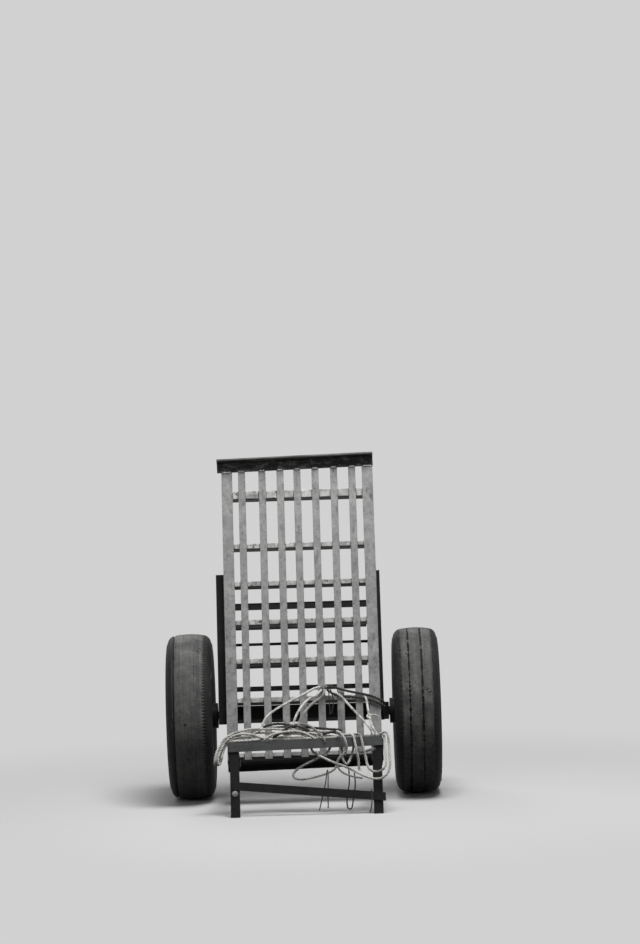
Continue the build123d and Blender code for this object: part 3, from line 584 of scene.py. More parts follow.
def carried_frames(line):
    """A direction along the line and one across it at each point, turning no more than the line does."""
    across_line = None
    for place, point in enumerate(line):
        along = (line[min(place + 1, len(line) - 1)] - line[max(place - 1, 0)]).normalized()
        if across_line is None:
            across_line = along.orthogonal().normalized()
        across_line = (across_line - along * across_line.dot(along)).normalized()
        yield point, along, across_line


# %% Strands twisted round each other
LOBES = 3
RING = 15                # corners round one section
GROOVE = 0.34            # how deep the strands' grooves are, as a share of the radius
TWIST_PITCH = 4.2        # one full turn of the strands, in diameters
STEP_SHARE = 0.28        # how far apart the sections are, in diameters
LOBE_POWER = 0.6         # under 1 makes the strands' backs broad and the grooves between them narrow
SWELL = 0.05             # how much thicker and thinner a cord gets along its length, as a share


def sweep_strands(name, line, diameter, seed=0.0):
    """A closed mesh along a line, with a lobed section that twists as it goes."""
    line = spread_evenly(line, diameter * STEP_SHARE)
    corners, faces, lays = [], [], []
    for place, (point, along, across_line) in enumerate(carried_frames(line)):
        third = along.cross(across_line)
        twist = 2 * math.pi * place * STEP_SHARE / TWIST_PITCH
        swell = 1 + SWELL * noise.noise(Vector((place * 0.11, seed, 0.3)))
        for angle in circle(RING):
            lobe = abs(math.cos(LOBES * angle / 2)) ** LOBE_POWER
            reach = diameter / 2 * swell * (1 - GROOVE * (1 - lobe))
            # The lobe's height is the lay attribute, from which the finish paints shade into the grooves.
            lays.append(lobe)
            corners.append(point + around(across_line, third, angle + twist) * reach)
    skin(faces, 0, len(line), RING)
    return piece_of(name, corners, faces, lay=lays), line


# %% Lay a cord and print its length
lines = {}


def fibre_slot(name):
    """The material slot of a rope or a string, by its name."""
    return "string_fibre" if "string" in name else "rope_fibre"


def lay_cord(name, route, diameter, finish, node=None, lay="hanging", far_end="bare", with_pieces=()):
    """Sweep a cord along its route and print its length. Its node has its own name, unless one is given."""
    piece, line = sweep_strands("cord_" + name, smooth_line(route), diameter, seed=len(route) * 1.7)
    lines[name] = line
    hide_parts(node or name)
    settle(piece, finish, slot=fibre_slot(name))
    length = round(length_of(line), 3)
    tuple(line[0])
    [tuple(point) for point in line]
    list(with_pieces)
    print(name, "length", length)


# %% [markdown]
# ## The knot and the ropes that meet in it
#
# Everything is tied to one knot in the middle of the bed's foot. Two ropes reach it from the heap on the
# front bar, one long one arches up from further left, and two grease black ones run on to the right and over
# the rail. A knot could be a ball, but it shows its turns, so it is three rings of rope laid across each
# other. A smaller one on the short stay is tied in the same way.

# %% The knot
KNOT_PLACE = bed(72, 48, 173.3)
KNOT_TURNS = (                       # tilt, heading and radius in millimetres of each turn
    (18, 0, 8.6),
    (74, 35, 8.0),
    (110, 100, 8.2),
)
STAY_KNOT_PLACE = cart(225.3, -176, 301.5)
STAY_KNOT_TURNS = (
    (70, 4, 7.4),
    (84, -22, 7.0),
    (38, 30, 7.8),
)
TURN_POINTS = 40
ROPE = 0.009                         # diameters, in metres
TWINE = 0.005
STRING = 0.004


def ring_route(centre, tilt, heading, radius):
    """A closed turn of rope about a centre, as points close together."""
    lean = Matrix.Rotation(math.radians(heading), 3, "Z") @ Matrix.Rotation(math.radians(tilt), 3, "X")
    return [centre + lean @ Vector((math.cos(angle), math.sin(angle), 0)) * radius * MM
            for angle in np.linspace(0, 2 * math.pi, TURN_POINTS)]


def tie_knot(name, centre, turns, diameter, finish, node):
    """Rings of rope laid across each other, joined into one piece that stands with a node."""
    rings = [sweep_strands(name + "_turn", ring_route(centre, *turn), diameter)[0] for turn in turns]
    with bpy.context.temp_override(active_object=rings[0], selected_editable_objects=rings):
        bpy.ops.object.join()
    rings[0].name = name
    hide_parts(node)
    settle(rings[0], finish)
    print(name, "tied in", len(turns), "turns")
    return rings[0]


knot = tie_knot("knot", KNOT_PLACE, KNOT_TURNS, ROPE * 0.95, grey_cord, "rope_knot")
stay_knot = tie_knot("stay_knot", STAY_KNOT_PLACE, STAY_KNOT_TURNS, ROPE * 0.8, pale_cord, "rope_stay_short")

# %% The routes, in millimetres
ROUTES = (   # name, diameter, finish, lay, far end, points
    ("rope_rise", ROPE, pale_cord, "hanging", "knot", (
        (-172, -325, 270), (-154, -319, 278), (-142, -310.5, 288), (-138, -300, 302), (-125, -270, 323),
        (-98, -226, 339), (-45, -144, 360), (5, -76, 377), (27, -37, 385), (44, -18, 391),
        (58.5, -13, 392.4),
    )),
    ("rope_pair_left", ROPE, pale_cord, "hanging", "knot", (
        (-62, -323, 273), (-47, -319, 281), (-38, -311.9, 291.8), (-33, -298, 303), (-24, -263, 324),
        (-7, -197, 345), (15, -110, 360), (38, -55, 365), (56, -24, 374), (64.2, -15.3, 382.9),
    )),
    ("rope_pair_right", ROPE, grey_cord, "hanging", "knot", (
        (8, -321, 275), (-8, -319, 282), (-18, -312, 292.5), (-16, -299, 302), (-6, -266, 317),
        (12, -203, 337), (34, -117, 350), (58, -72, 359), (75, -33, 374), (73.4, -18.6, 384),
    )),
    ("rope_span_upper", ROPE, black_cord, "taut", "object", (
        (85.8, -10.8, 393.1), (104, -9, 392), (132, -8, 382), (165, -9, 373), (205, -12, 365),
        (240, -15, 356), (258, -21, 347), (279, -19, 338), (277, 5, 323), (272.3, 18.6, 314.8),
    )),
    ("rope_span_lower", ROPE, black_cord, "taut", "object", (
        (81.9, -13.1, 384.2), (97, -14, 370), (128, -14, 359), (165, -16, 357), (205, -17, 351),
        (240, -21, 342), (258, -26, 333), (279, -24, 324), (277, -1, 309), (272.3, 13.4, 300.7),
    )),
    ("rope_stay_long", ROPE, pale_cord, "taut", "object", (
        (112, -19.9, 371.9), (128, -34, 365), (150, -84, 343), (170, -133, 324), (192, -187, 305),
        (219, -268, 282), (233, -313, 262), (238, -331.2, 254.3),
    )),
    ("rope_stay_short", ROPE, pale_cord, "taut", "object", (
        (216, -26.3, 354), (219, -49, 345), (222, -108, 326), (225, -174, 302), (233, -254, 274),
        (245, -307, 260), (249, -328.8, 252.1),
    )),
    ("rope_drop", ROPE, pale_cord, "hanging", "bare", (
        (136.8, -325.6, 258), (150, -329, 259), (163, -340, 261), (169, -355, 253), (172, -364, 233),
        (177, -369, 206), (182, -370, 176), (183, -369, 147),
    )),
    ("rope_loop_inner", ROPE, pale_cord, "hanging", "bare", (
        (136.8, -310.8, 254.8), (158, -316, 257), (178, -330, 261), (190, -347, 261), (195, -361, 245),
        (199, -369, 218), (206, -373, 190), (209, -380, 165), (217, -392, 146), (236, -401, 137),
        (258, -405, 141), (274, -401, 158), (275, -387, 185), (274, -371, 211), (272, -354, 236),
        (272, -337, 250), (268, -326, 258), (261, -320, 256), (256, -318, 251),
    )),
    ("rope_loop_right", ROPE, pale_cord, "hanging", "bare", (
        (21, -298.1, 248.1), (21, -307, 224), (27, -322, 203), (45, -347, 194), (68, -359, 184),
        (100, -365, 168), (136, -367, 156), (177, -376, 135), (209, -392, 120), (247, -406, 112),
        (276, -407, 126), (289, -394, 158), (287, -377, 198), (286, -363, 232), (284, -352, 258),
        (276, -345, 267), (266, -341, 265), (256, -338.8, 257.3),
    )),
    ("rope_loop_left", ROPE, pale_cord, "hanging", "object", (
        (112, -340.6, 272.5), (117, -354, 273), (127, -364, 266), (137, -370, 251), (143, -369, 229),
        (143, -367, 208), (128, -361, 194), (114, -354, 180), (109, -350, 163), (103, -348, 146),
        (80, -347, 133), (42, -346, 122), (2, -345, 114), (-30, -343, 114), (-44, -339, 128),
        (-28, -336, 147), (10, -335, 167), (50, -333, 184), (76, -327, 198), (90, -312, 216),
        (92, -302, 241),
    )),
    ("string_left", STRING, black_cord, "hanging", "bare", (
        (45, -357, 8), (52, -356, 36), (60, -356, 66), (68, -355, 98), (73, -355, 126), (75, -354, 142),
        (77, -339, 142), (78, -339, 126), (77, -341, 98), (76, -343, 68), (75, -345, 40), (75, -346, 14),
    )),
    ("string_middle", TWINE, black_cord, "hanging", "object", (
        (148, -368.5, 143.5), (150, -369, 118), (147, -370, 88), (141, -371, 58), (138, -371, 34),
        (141, -371, 12), (154, -371, 10), (158, -371, 28), (162, -371, 54), (168, -372, 84),
        (169, -373, 112), (166, -373, 133.5),
    )),
    ("string_right", STRING, black_cord, "hanging", "bare", (
        (222, -403.5, 58.7), (222, -397, 77), (223, -409, 81), (224, -415, 63), (223, -421, 44),
        (221, -422, 24), (216, -422, 8),
    )),
)

# %% Lay the free ropes and strings
KNOTS = {"rope_rise": [knot], "rope_stay_short": [stay_knot]}
for name, diameter, finish, lay, far_end, route in ROUTES:
    places = [cart(*place) for place in route]
    lay_cord(name, places, diameter, finish, lay=lay, far_end=far_end, with_pieces=KNOTS.get(name, ()))

# %% [markdown]
# ## The heap of lashing rope
#
# The rest of the lashing lies doubled on the front bar and hangs over its left end. It was dropped there and
# not coiled, so no two turns are alike: one long rope runs back and forth four times and folds over the
# corner, and greyer and shorter ends lie through it and across it. Random curves would look like wool, so
# each strand has its own listed points, in layers a rope's thickness apart.

# %% Places on the toe frame
FOOT = -203.0                    # millimetres up the bed, the toe frame's top at the cart's middle
TOE_SLOPE = math.tan(math.radians(1))


def toe(x, height, n):
    """A place across the cart, above the toe frame's sloping top and out of the bed, in millimetres."""
    return bed(x, FOOT + x * TOE_SLOPE + height, n)


# %% The strands of the heap
HEAP = (   # name, finish, points: across, above the toe frame, out of the bed
    ("heap_long", pale_cord, (
        (136.8, 12.6, 426), (118, 19, 427), (98, 25, 426), (70, 27, 427), (30, 31, 425), (-13, 37, 424),
        (-47, 41, 426), (-80, 42.5, 425), (-112, 45.5, 427), (-141, 45, 428), (-165, 47.5, 429),
        (-192, 45.5, 430), (-218, 40, 432), (-240, 33, 434), (-259, 23, 436), (-274, 8, 437),
        (-286, -10, 438), (-296, -30, 440), (-302, -50, 441.5), (-304, -64, 440), (-302, -74, 433),
        (-298, -66, 426), (-295, -48, 424), (-287, -21, 425), (-274, 2, 425), (-256, 20, 424),
        (-230, 31, 422), (-195, 37, 420), (-155, 36, 418), (-108, 33.5, 416), (-60, 29, 415),
        (-10, 27, 414), (40, 22.5, 413), (80, 16, 412.5), (102, 11, 415), (112, 7.5, 421), (104, 5.3, 427),
        (76, 5, 429), (40, 5, 429), (0, 5, 428.5), (-40, 5, 429.5), (-80, 5.2, 428.5), (-118, 8, 428),
        (-146, 16, 430), (-172, 26, 434), (-200, 30, 438), (-226, 27, 441), (-248, 18, 444),
        (-266, 3, 446.5), (-279, -20, 447), (-289, -42, 447), (-295, -57, 446.5), (-296, -69, 443),
        (-291, -76, 437), (-285.5, -68, 430.5), (-281, -50, 428.5), (-276, -30, 428), (-269, -10, 428),
        (-258, 9, 427), (-235, 19.5, 425), (-190, 23, 424), (-150, 21.5, 421), (-100, 18, 420),
        (-40, 15, 420), (20, 14, 420), (48, 12.5, 420),
    )),
    ("heap_second", grey_cord, (
        (136.8, 14.6, 411), (118, 22, 411), (96, 28, 410), (66, 33, 409), (30, 36, 407.5), (-13, 42, 408),
        (-40, 49, 409), (-70, 54, 410), (-105, 54, 410.5), (-140, 50, 410), (-172, 44, 409),
        (-205, 38, 409.5), (-232, 28, 411), (-252, 14, 413), (-267, -4, 415), (-279, -26, 417),
        (-285, -48, 418), (-287, -62, 417),
    )),
    ("heap_dark", black_cord, (
        (130, 30, 418), (112, 35, 418), (92, 36, 417), (70, 40, 416), (50, 43, 414), (30, 46, 413),
        (10, 47, 415), (-8, 49, 419), (-25, 50, 424), (-42, 51, 430), (-58, 44, 435), (-70, 33, 437),
        (-84, 22, 438.5), (-104, 12, 438.5),
    )),
    ("heap_arc", pale_cord, (
        (-134, 4.8, 437.5), (-128, 8, 442), (-119, 14, 445), (-104, 21, 446), (-86, 25, 446.5),
        (-60, 28, 446), (-30, 28.5, 445.5), (-5, 24, 446), (12, 16, 446), (24, 8, 443), (31, 4.8, 438.5),
    )),
    ("heap_end", pale_cord, (
        (-146, 11, 424), (-160, 8, 433), (-175, 5.4, 438.5), (-192, 4.9, 439), (-212, 5.2, 438.5),
        (-232, 5.2, 438), (-251, 5.6, 438), (-263.5, -1, 438), (-271, -15, 438.5), (-276, -34, 439.5),
        (-279, -54, 440),
    )),
    ("heap_top", black_cord, (
        (-152, 49, 410), (-134, 58, 411), (-114, 63, 412), (-92, 65.5, 413), (-72, 64, 414),
        (-56, 59, 418), (-42, 54, 424), (-28, 51, 429), (-12, 46, 433), (4, 38, 435), (20, 30, 435),
    )),
    ("heap_back", black_cord, (
        (-226, 6, 411), (-200, 10, 409.5), (-172, 9, 408.5), (-140, 12, 409), (-104, 8, 408),
        (-66, 11, 408.5), (-28, 7, 408), (12, 10, 408.5), (52, 7, 408), (92, 10, 408.5), (124, 6, 409),
    )),
    ("heap_under", grey_cord, (
        (-236, 4.6, 419), (-206, 5, 417.5), (-172, 8, 416), (-136, 5, 417), (-96, 4.8, 416),
        (-52, 5.6, 418), (-8, 4.8, 416.5), (36, 5, 418), (80, 4.8, 417), (118, 5, 419),
    )),
    ("heap_kink", black_cord, (
        (62, 16, 433), (76, 19, 434), (94, 23, 434), (110, 24, 431), (122, 23, 425), (128, 21, 416),
        (131, 20, 409),
    )),
    ("heap_tail", grey_cord, (
        (-34, 58, 415), (-14, 61, 417), (6, 57, 419), (22, 49, 423), (34, 39, 430), (44, 27, 436),
        (55, 14, 441), (66, 3, 445), (70, -9, 445.5),
    )),
)
for name, finish, places in HEAP:
    lay_cord(name, [toe(*place) for place in places], ROPE, finish, node="rope_hank", lay="loose")

# %% [markdown]
# ## Strands below the bar and under the knot
#
# A few more ends finish the tangle: a loop that shows as a V below the front bar, a slack strand under the
# crossing of the big loops, a frayed end, the tail of the stay's small knot, and two greasy strings that hang
# from the big knot down the bed. They are cords of their own, and each comes out of a rope already there.

# %% The smaller strands
EXTRA = (   # name, finish, diameter, far end, the node it lies with, the axes, points in millimetres
    ("v_loop", pale_cord, ROPE, "object", "rope_drop", toe, (
        (122, 5, 411), (124, 4.6, 405), (126, -8, 402), (127, -28, 405), (127, -50, 411), (129, -68, 417),
        (135, -83, 421), (142, -90, 423), (149, -83, 421), (156, -66, 416), (163, -46, 409),
        (167, -24, 404), (168, -6, 402), (168, 4, 403.5), (166, 5, 410),
    )),
    ("slack_strand", grey_cord, ROPE * 0.8, "object", "rope_loop_right", cart, (
        (106, -374, 168), (110, -377, 156), (121, -379, 141), (139, -382, 130), (158, -386, 124),
        (178, -391, 120), (194, -398, 118),
    )),
    ("frayed_end", grey_cord, ROPE, "bare", "rope_loop_inner", toe, (
        (170, -10, 403.5), (174, -28, 410), (181, -44, 424), (190, -52, 436), (202, -53, 443),
        (213, -50, 444.5), (224, -46.5, 444.5),
    )),
    ("stay_tail", pale_cord, TWINE, "bare", "rope_stay_short", cart, (
        (225.3, -176, 301.5), (232, -179, 306), (242, -182, 309), (252, -184, 306), (259, -185, 299),
    )),
    ("knot_string_left", black_cord, STRING, "bare", "rope_knot", bed, (
        (84, 46, 172), (88, 38, 174), (89, 20, 168), (90, 0, 162), (90, -20, 158), (91, -46, 151),
    )),
    ("knot_string_right", black_cord, STRING, "bare", "rope_knot", bed, (
        (86, 44, 176), (95, 37, 177), (101, 20, 171), (104, 0, 164), (102, -22, 159), (97, -44, 153),
    )),
)
for name, finish, diameter, far_end, node, axes, places in EXTRA:
    lay_cord(name, [axes(*place) for place in places], diameter, finish, node=node, far_end=far_end)

# %% [markdown]
# ## Frayed ends
#
# A cut rope that is not whipped opens into its fibres. A flat cut would give away a tube, so each bare end
# gets a tuft: thin tapered fibres that leave the end in its own direction, spread, and curl as they go.

# %% Tufts of fibre
FIBRE = 0.0011                   # metres, thicker than a real fibre, which would be too fine to show
FIBRE_SIDES = 4
FIBRE_RINGS = 6
FIBRE_TAPER = 0.8                # how much of its thickness it loses up to its tip
FIBRE_SPREAD = (0.05, 0.65)      # least and most that one leans away from the rope's own direction
FIBRE_LENGTHS = (0.45, 1.0)      # shortest and longest, as shares of the tuft's length
FIBRE_ROOT = 0.004               # metres, how deep inside the rope's end they begin
ROOT_SHARE = 0.3                 # how far from the rope's middle they begin, in its diameters
FIBRE_CURL = 0.14                # how much one bends from ring to ring


def tuft(line, count, length, seed):
    """The corners and faces of fibres that leave the end of a line and splay."""
    random.seed(seed)
    along = (line[-1] - line[-4]).normalized()
    side = along.orthogonal().normalized()
    other = along.cross(side)
    corners, faces = [], []
    for _ in range(count):
        outward = around(side, other, random.uniform(0, 2 * math.pi))
        spread = random.uniform(*FIBRE_SPREAD)
        heading = (along + outward * spread).normalized()
        place = line[-1] - along * FIBRE_ROOT + outward * ROPE * ROOT_SHARE * spread
        reach = length * random.uniform(*FIBRE_LENGTHS)
        curl = Vector((random.uniform(-1, 1), random.uniform(-1, 1), random.uniform(-1.6, 0.4))) * FIBRE_CURL
        root = len(corners)
        for ring in range(FIBRE_RINGS + 1):
            first = heading.orthogonal().normalized()
            second = heading.cross(first)
            thick = FIBRE / 2 * (1 - FIBRE_TAPER * ring / FIBRE_RINGS)
            corners += [place + around(first, second, angle) * thick for angle in circle(FIBRE_SIDES)]
            place = place + heading * reach / FIBRE_RINGS
            heading = (heading + curl).normalized()
        skin(faces, root, FIBRE_RINGS + 1, FIBRE_SIDES, capped=False)
    return corners, faces


TUFTS = (   # the cord whose end frays, fibres, length in metres, finish
    ("rope_drop", 26, 0.016, pale_cord), ("frayed_end", 44, 0.024, pale_cord),
    ("heap_dark", 18, 0.012, black_cord), ("heap_tail", 22, 0.014, grey_cord),
    ("heap_second", 22, 0.014, grey_cord), ("heap_end", 24, 0.013, pale_cord),
    ("stay_tail", 26, 0.015, pale_cord), ("string_right", 16, 0.012, black_cord),
    ("string_left", 12, 0.008, black_cord), ("knot_string_left", 10, 0.008, black_cord),
    ("knot_string_right", 10, 0.008, black_cord),
)
for seed, (name, count, length, finish) in enumerate(TUFTS, 3):
    corners, faces = tuft(lines[name], count, length, seed)
    # A lay of 1 keeps the painted groove shade off the fibres.
    piece = piece_of("tuft_" + name, corners, faces, smooth=False, lay=[1.0] * len(corners))
    settle(piece, finish, slot=fibre_slot(name))
print("tufts:", len(TUFTS))

# %% [markdown]
# ## The tyres
#
# Two worn car tyres of different pasts: the left one is nearly bald, with one groove left near its outer
# shoulder, and the right one still has three ribs, split by two ragged grooves. A tyre could be one turned
# profile, but wear is never even round it. So each tyre is a grid of points, across its section and round its
# axle. The grooves, sipes and scuffs push those points in, and thin rings stand out on the walls.

# %% The tyre's section
TYRE_STEPS = 480                 # round the tyre
TREAD_CELLS = 110                # across its tread
WALL_CELLS = 26
SHOULDER_CELLS = 12
HALF_SEAT = 0.060                # metres: half the width of the rim's seat, then two radii of the rim
SEAT = 0.165
FLANGE = 0.180
WALL_FOOT = 0.181                # the radius at which the wall begins to bulge
BELLY_SHARE = 0.45               # where the wall is widest, from the flange to the crown
WALL_TOP = (0.005, 0.030)        # how far in from the widest place and down from the crown these places are
SHOULDER = (0.013, 0.013)
TREAD_EDGE = (0.027, 0.005)
LINING_BELLY = 0.017             # and where the lining is, in from the belly, at the shoulder and the crown
LINING_SHOULDER = (0.024, 0.021)
LINING_CROWN = 0.014
BEAD_WIDTHS = (0.014, 0.010)     # the casing's own width at the seat and at the flange


def arc_through(start, middle, end, count):
    """Points on the circle through three points, without the last."""
    (ax, ay), (bx, by), (cx, cy) = start, middle, end
    determinant = 2 * (ax * (by - cy) + bx * (cy - ay) + cx * (ay - by))
    a2, b2, c2 = ax * ax + ay * ay, bx * bx + by * by, cx * cx + cy * cy
    ox = (a2 * (by - cy) + b2 * (cy - ay) + c2 * (ay - by)) / determinant
    oy = (a2 * (cx - bx) + b2 * (ax - cx) + c2 * (bx - ax)) / determinant
    radius = math.hypot(ax - ox, ay - oy)
    angles = [math.atan2(y - oy, x - ox) for x, y in (start, middle, end)]
    while abs(angles[1] - angles[0]) > math.pi:
        angles[1] += math.copysign(2 * math.pi, angles[0] - angles[1])
    while abs(angles[2] - angles[1]) > math.pi:
        angles[2] += math.copysign(2 * math.pi, angles[1] - angles[2])
    return [(ox + radius * math.cos(t), oy + radius * math.sin(t))
            for t in np.linspace(angles[0], angles[2], count + 1)[:-1]]


def tyre_section(radius, half_width):
    """The casing's outline from one bead over the tread to the other, then back inside, in metres."""
    belly = FLANGE + BELLY_SHARE * (radius - FLANGE)
    wall_top, shoulder, tread_edge, lining = [(half_width - inward, radius - down) for inward, down in (
        WALL_TOP, SHOULDER, TREAD_EDGE, LINING_SHOULDER)]
    wall_foot = (HALF_SEAT, WALL_FOOT)
    right = [(HALF_SEAT, SEAT), wall_foot]
    right += arc_through(wall_foot, (half_width, belly), wall_top, WALL_CELLS)[1:]
    right += arc_through(wall_top, shoulder, tread_edge, SHOULDER_CELLS)
    crown = arc_through(tread_edge, (0, radius), (-tread_edge[0], tread_edge[1]), TREAD_CELLS)
    outside = right + crown + [(-x, y) for x, y in reversed(right)]
    half = [(HALF_SEAT - BEAD_WIDTHS[0], SEAT), (HALF_SEAT - BEAD_WIDTHS[1], FLANGE),
            (half_width - LINING_BELLY, belly), lining]
    inside = [(-x, y) for x, y in half] + [(0, radius - LINING_CROWN)] + half[::-1]
    return outside, inside


# %% Wear on the tread
NOTCH_WALL = 0.0006              # metres over which a groove's wall falls
WANDER = 0.0012                  # metres that a groove wanders to either side
GAPPY_FROM = 0.5                 # grooves more ragged than this are worn away in places
SIPE_SHARE = 0.2                 # how much of its pitch a sipe takes up, to each side
SIPE_RUNOUT = 0.004              # metres over which a sipe gets shallower towards its ends
FLAT_SPOTS = 0.0007              # metres, how deep broad and fine wear go, and the least wear
SCUFFS = 0.00035
LEAST_WEAR = 0.0005


def notch(offset, width):
    """1 at the middle of a groove this wide, falling to 0 at its walls."""
    return max(0.0, min(1.0, (width / 2 - abs(offset)) / NOTCH_WALL))


def groove_depth(x, angle, grooves, seed):
    """How far the grooves cut in here: each has a place across, a width, a depth and a raggedness."""
    cut = 0.0
    for place, width, depth, ragged in grooves:
        wander = WANDER * noise.noise(Vector((angle * 6, place * 90, seed)))
        raggedness = ragged * noise.noise(Vector((angle * 40, place * 50, seed + 4)))
        here = width * (1 + raggedness)
        gap = noise.noise(Vector((angle * 12, place * 31, seed + 9)))
        strength = 1.0 if ragged < GAPPY_FROM else max(0.25, min(1.0, 1.1 + 2.2 * gap))
        cut = max(cut, depth * strength * notch(x - place - wander, here))
    return cut


def sipe_depth(x, angle, sipes):
    """Thin cuts across the shoulder: each row has a place, a reach, a number round the tyre and a depth."""
    cut = 0.0
    for place, reach, count, depth in sipes:
        if abs(x - place) < reach:
            phase = (angle * count / (2 * math.pi)) % 1.0
            if min(phase, 1 - phase) < SIPE_SHARE:
                cut = max(cut, depth * min(1.0, (reach - abs(x - place)) / SIPE_RUNOUT))
    return cut


def wear(x, angle, seed):
    """Scuffs and flat spots on the running face: how deep they go in here, in metres."""
    broad = noise.noise(Vector((math.cos(angle) * 2, math.sin(angle) * 2, seed)))
    fine = noise.noise(Vector((math.cos(angle) * 34, math.sin(angle) * 34, x * 260 + seed)))
    return max(0.0, FLAT_SPOTS * broad + SCUFFS * fine + LEAST_WEAR)


# %% Build a tyre
WORN_DOWN = 0.022                # metres: wear reaches this far down from the crown,
WORN_INWARD = 0.004              # and no nearer than this to the widest place
CUT_SHADE_FULL_AT = 0.003                # a cut this deep gets the darkest painted shade
WALL_FROM = 0.19                 # above this radius the wall has thin rings on it
WALL_RINGS = (0.199, 0.237, 0.252)
WALL_RING_WIDTH = 0.0035
WALL_RING_HEIGHT = 0.0011


def build_tyre(name, node, body, grooves, sipes, seed):
    """Lay the section round the node's axle, with wear on the running face and rings on the walls."""
    low, high = (Vector(corner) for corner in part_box(node))
    middle = (low + high) / 2
    radius = (high.z - low.z) / 2
    half_width = (high.x - low.x) / 2
    outside, inside = tyre_section(radius, half_width)
    section = outside + inside
    corners, cuts, faces = [], [], []
    for angle in circle(TYRE_STEPS):
        for place, (x, reach) in enumerate(section):
            cut = 0.0
            shows = place < len(outside)
            if shows and reach > radius - WORN_DOWN and abs(x) < half_width - WORN_INWARD:
                cut = groove_depth(x, angle, grooves, seed) + sipe_depth(x, angle, sipes)
                reach -= cut + wear(x, angle, seed)
            elif shows and reach > WALL_FROM:
                rib = WALL_RING_HEIGHT * sum(notch(reach - ring, WALL_RING_WIDTH) for ring in WALL_RINGS)
                x += math.copysign(min(rib, half_width - abs(x)), x)
            cuts.append(min(1.0, cut / CUT_SHADE_FULL_AT))
            y, z = reach * math.sin(angle), reach * math.cos(angle)
            corners.append((middle.x + x, middle.y + y, middle.z + z))
    count = len(section)
    for turn in range(TYRE_STEPS):
        here = turn * count
        after = (turn + 1) % TYRE_STEPS * count
        for place in range(count):
            beside = (place + 1) % count
            faces.append((here + place, after + place, after + beside, here + beside))
    tyre = piece_of(name, corners, faces, cut=cuts)
    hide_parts(node)
    settle(tyre, tyre_rubber, body, "tyre_rubber")
    print(name, "has", len(faces) * 2, "triangles")


# grooves: place across, width, depth, raggedness. Sipes: place, reach, number round the tyre, depth.
SMOOTH_GROOVES = ((-0.0515, 0.0056, 0.0042, 0.2), (0.0190, 0.0020, 0.0012, 0.3))
SMOOTH_SIPES = ((0.0525, 0.0085, 160, 0.0026),)
RIBBED_GROOVES = (
    (-0.0270, 0.0062, 0.0045, 1.3), (0.0170, 0.0062, 0.0045, 1.3), (0.0570, 0.0034, 0.0022, 0.9),
)
RIBBED_SIPES = ((-0.0565, 0.0060, 96, 0.0018),)
build_tyre("tyre_worn_smooth", "tyre_left", "wheel_left", SMOOTH_GROOVES, SMOOTH_SIPES, seed=1.0)
build_tyre("tyre_three_ribs", "tyre_right", "wheel_right", RIBBED_GROOVES, RIBBED_SIPES, seed=5.0)

# %% [markdown]
# ## Weld beads
#
# Stick welding leaves a row of overlapping ripples, each where the pool froze. Smooth fillets would look
# moulded, so a bead here is a lumpy tube, half sunk in the corner that it fills, with its rings swelling like
# stacked coins. A welder tacks a bed like this: a short run each side of every slat and longer ones on the
# frame.

# %% One bead
BEAD_SIDES = 8
RIPPLE = 1.6                     # millimetres between two ripples
weld_corners, weld_faces = [], []


def weld(start, end, size=2.4):
    """Add a run of weld between two places in the bed's axes, of this size in millimetres."""
    start, end = Vector(start), Vector(end)
    run = end - start
    rings = max(4, round(run.length / (RIPPLE / 2)))
    along = run.normalized()
    side = along.orthogonal().normalized()
    other = along.cross(side)
    first = len(weld_corners)
    for ring in range(rings + 1):
        share = ring / rings
        taper = min(1.0, 0.35 + 5 * min(share, 1 - share))
        seed = Vector((start.x * 0.37 + ring * 0.21, start.y * 0.29, start.z * 0.31))
        reach = size * taper * (0.86 + 0.12 * (ring % 2) + 0.22 * noise.noise(seed))
        wander = side * noise.noise(seed * 1.7) + other * noise.noise(seed * 2.3)
        centre = start + run * share + wander * size * 0.2
        for angle in circle(BEAD_SIDES):
            weld_corners.append(bed(*(centre + around(side, other, angle) * reach)))
    skin(weld_faces, first, rings + 1, BEAD_SIDES)


def bed_span(node):
    """A node's lowest and highest places in the bed's axes, in millimetres."""
    places = [vertex.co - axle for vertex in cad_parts[node].data.vertices]
    spans = [(place.x / MM, place.dot(up_bed) / MM, place.dot(out_of_bed) / MM) for place in places]
    return [min(values) for values in zip(*spans)], [max(values) for values in zip(*spans)]


# %% The beads of the bed
SLATS = [f"slat_{number}" for number in range(1, 8)]
CROSS_BARS = [f"cross_bar_{number}" for number in range(1, 9)]
BARS_FRONT = 154                 # millimetres out of the bed from the axle, the cross bars' front
CORNER_FILL = 0.6                # how far a bead stands out of its corner
UPRIGHT_WELDS = (-35, 60, 170, 290, 400, 462)    # millimetres up the bed, where the uprights are welded on
UPRIGHT_RUN = 32                 # and how long each run is, there and at the axle
AXLE_RUN = 44


def save_welds(name, finish, slot):
    """Make one piece of the beads laid so far, and start a new set."""
    settle(piece_of(name, weld_corners, weld_faces), finish, slot=slot)
    print(name, "has", len(weld_faces), "faces")
    weld_corners.clear()
    weld_faces.clear()


edges = []
for low, high in map(bed_span, SLATS):
    edges += [(low[0] - CORNER_FILL, low[2]), (high[0] + CORNER_FILL, low[2])]
edges.append((bed_span("rail_left")[1][0] + CORNER_FILL, BARS_FRONT))
edges.append((bed_span("rail_right")[0][0] - CORNER_FILL, BARS_FRONT))
for bar in CROSS_BARS:
    (_, foot, _), (_, top, _) = bed_span(bar)
    for edge, depth in edges:
        weld((edge, foot + 3, depth), (edge, top - 3, depth))

for slat in SLATS:
    (left, foot, _), (right, _, front) = bed_span(slat)
    weld((left + 3, foot + 0.8, front), (right - 3, foot + 1.2, front), 2.6)
save_welds("bed_welds", slat_enamel, "slat_paint")

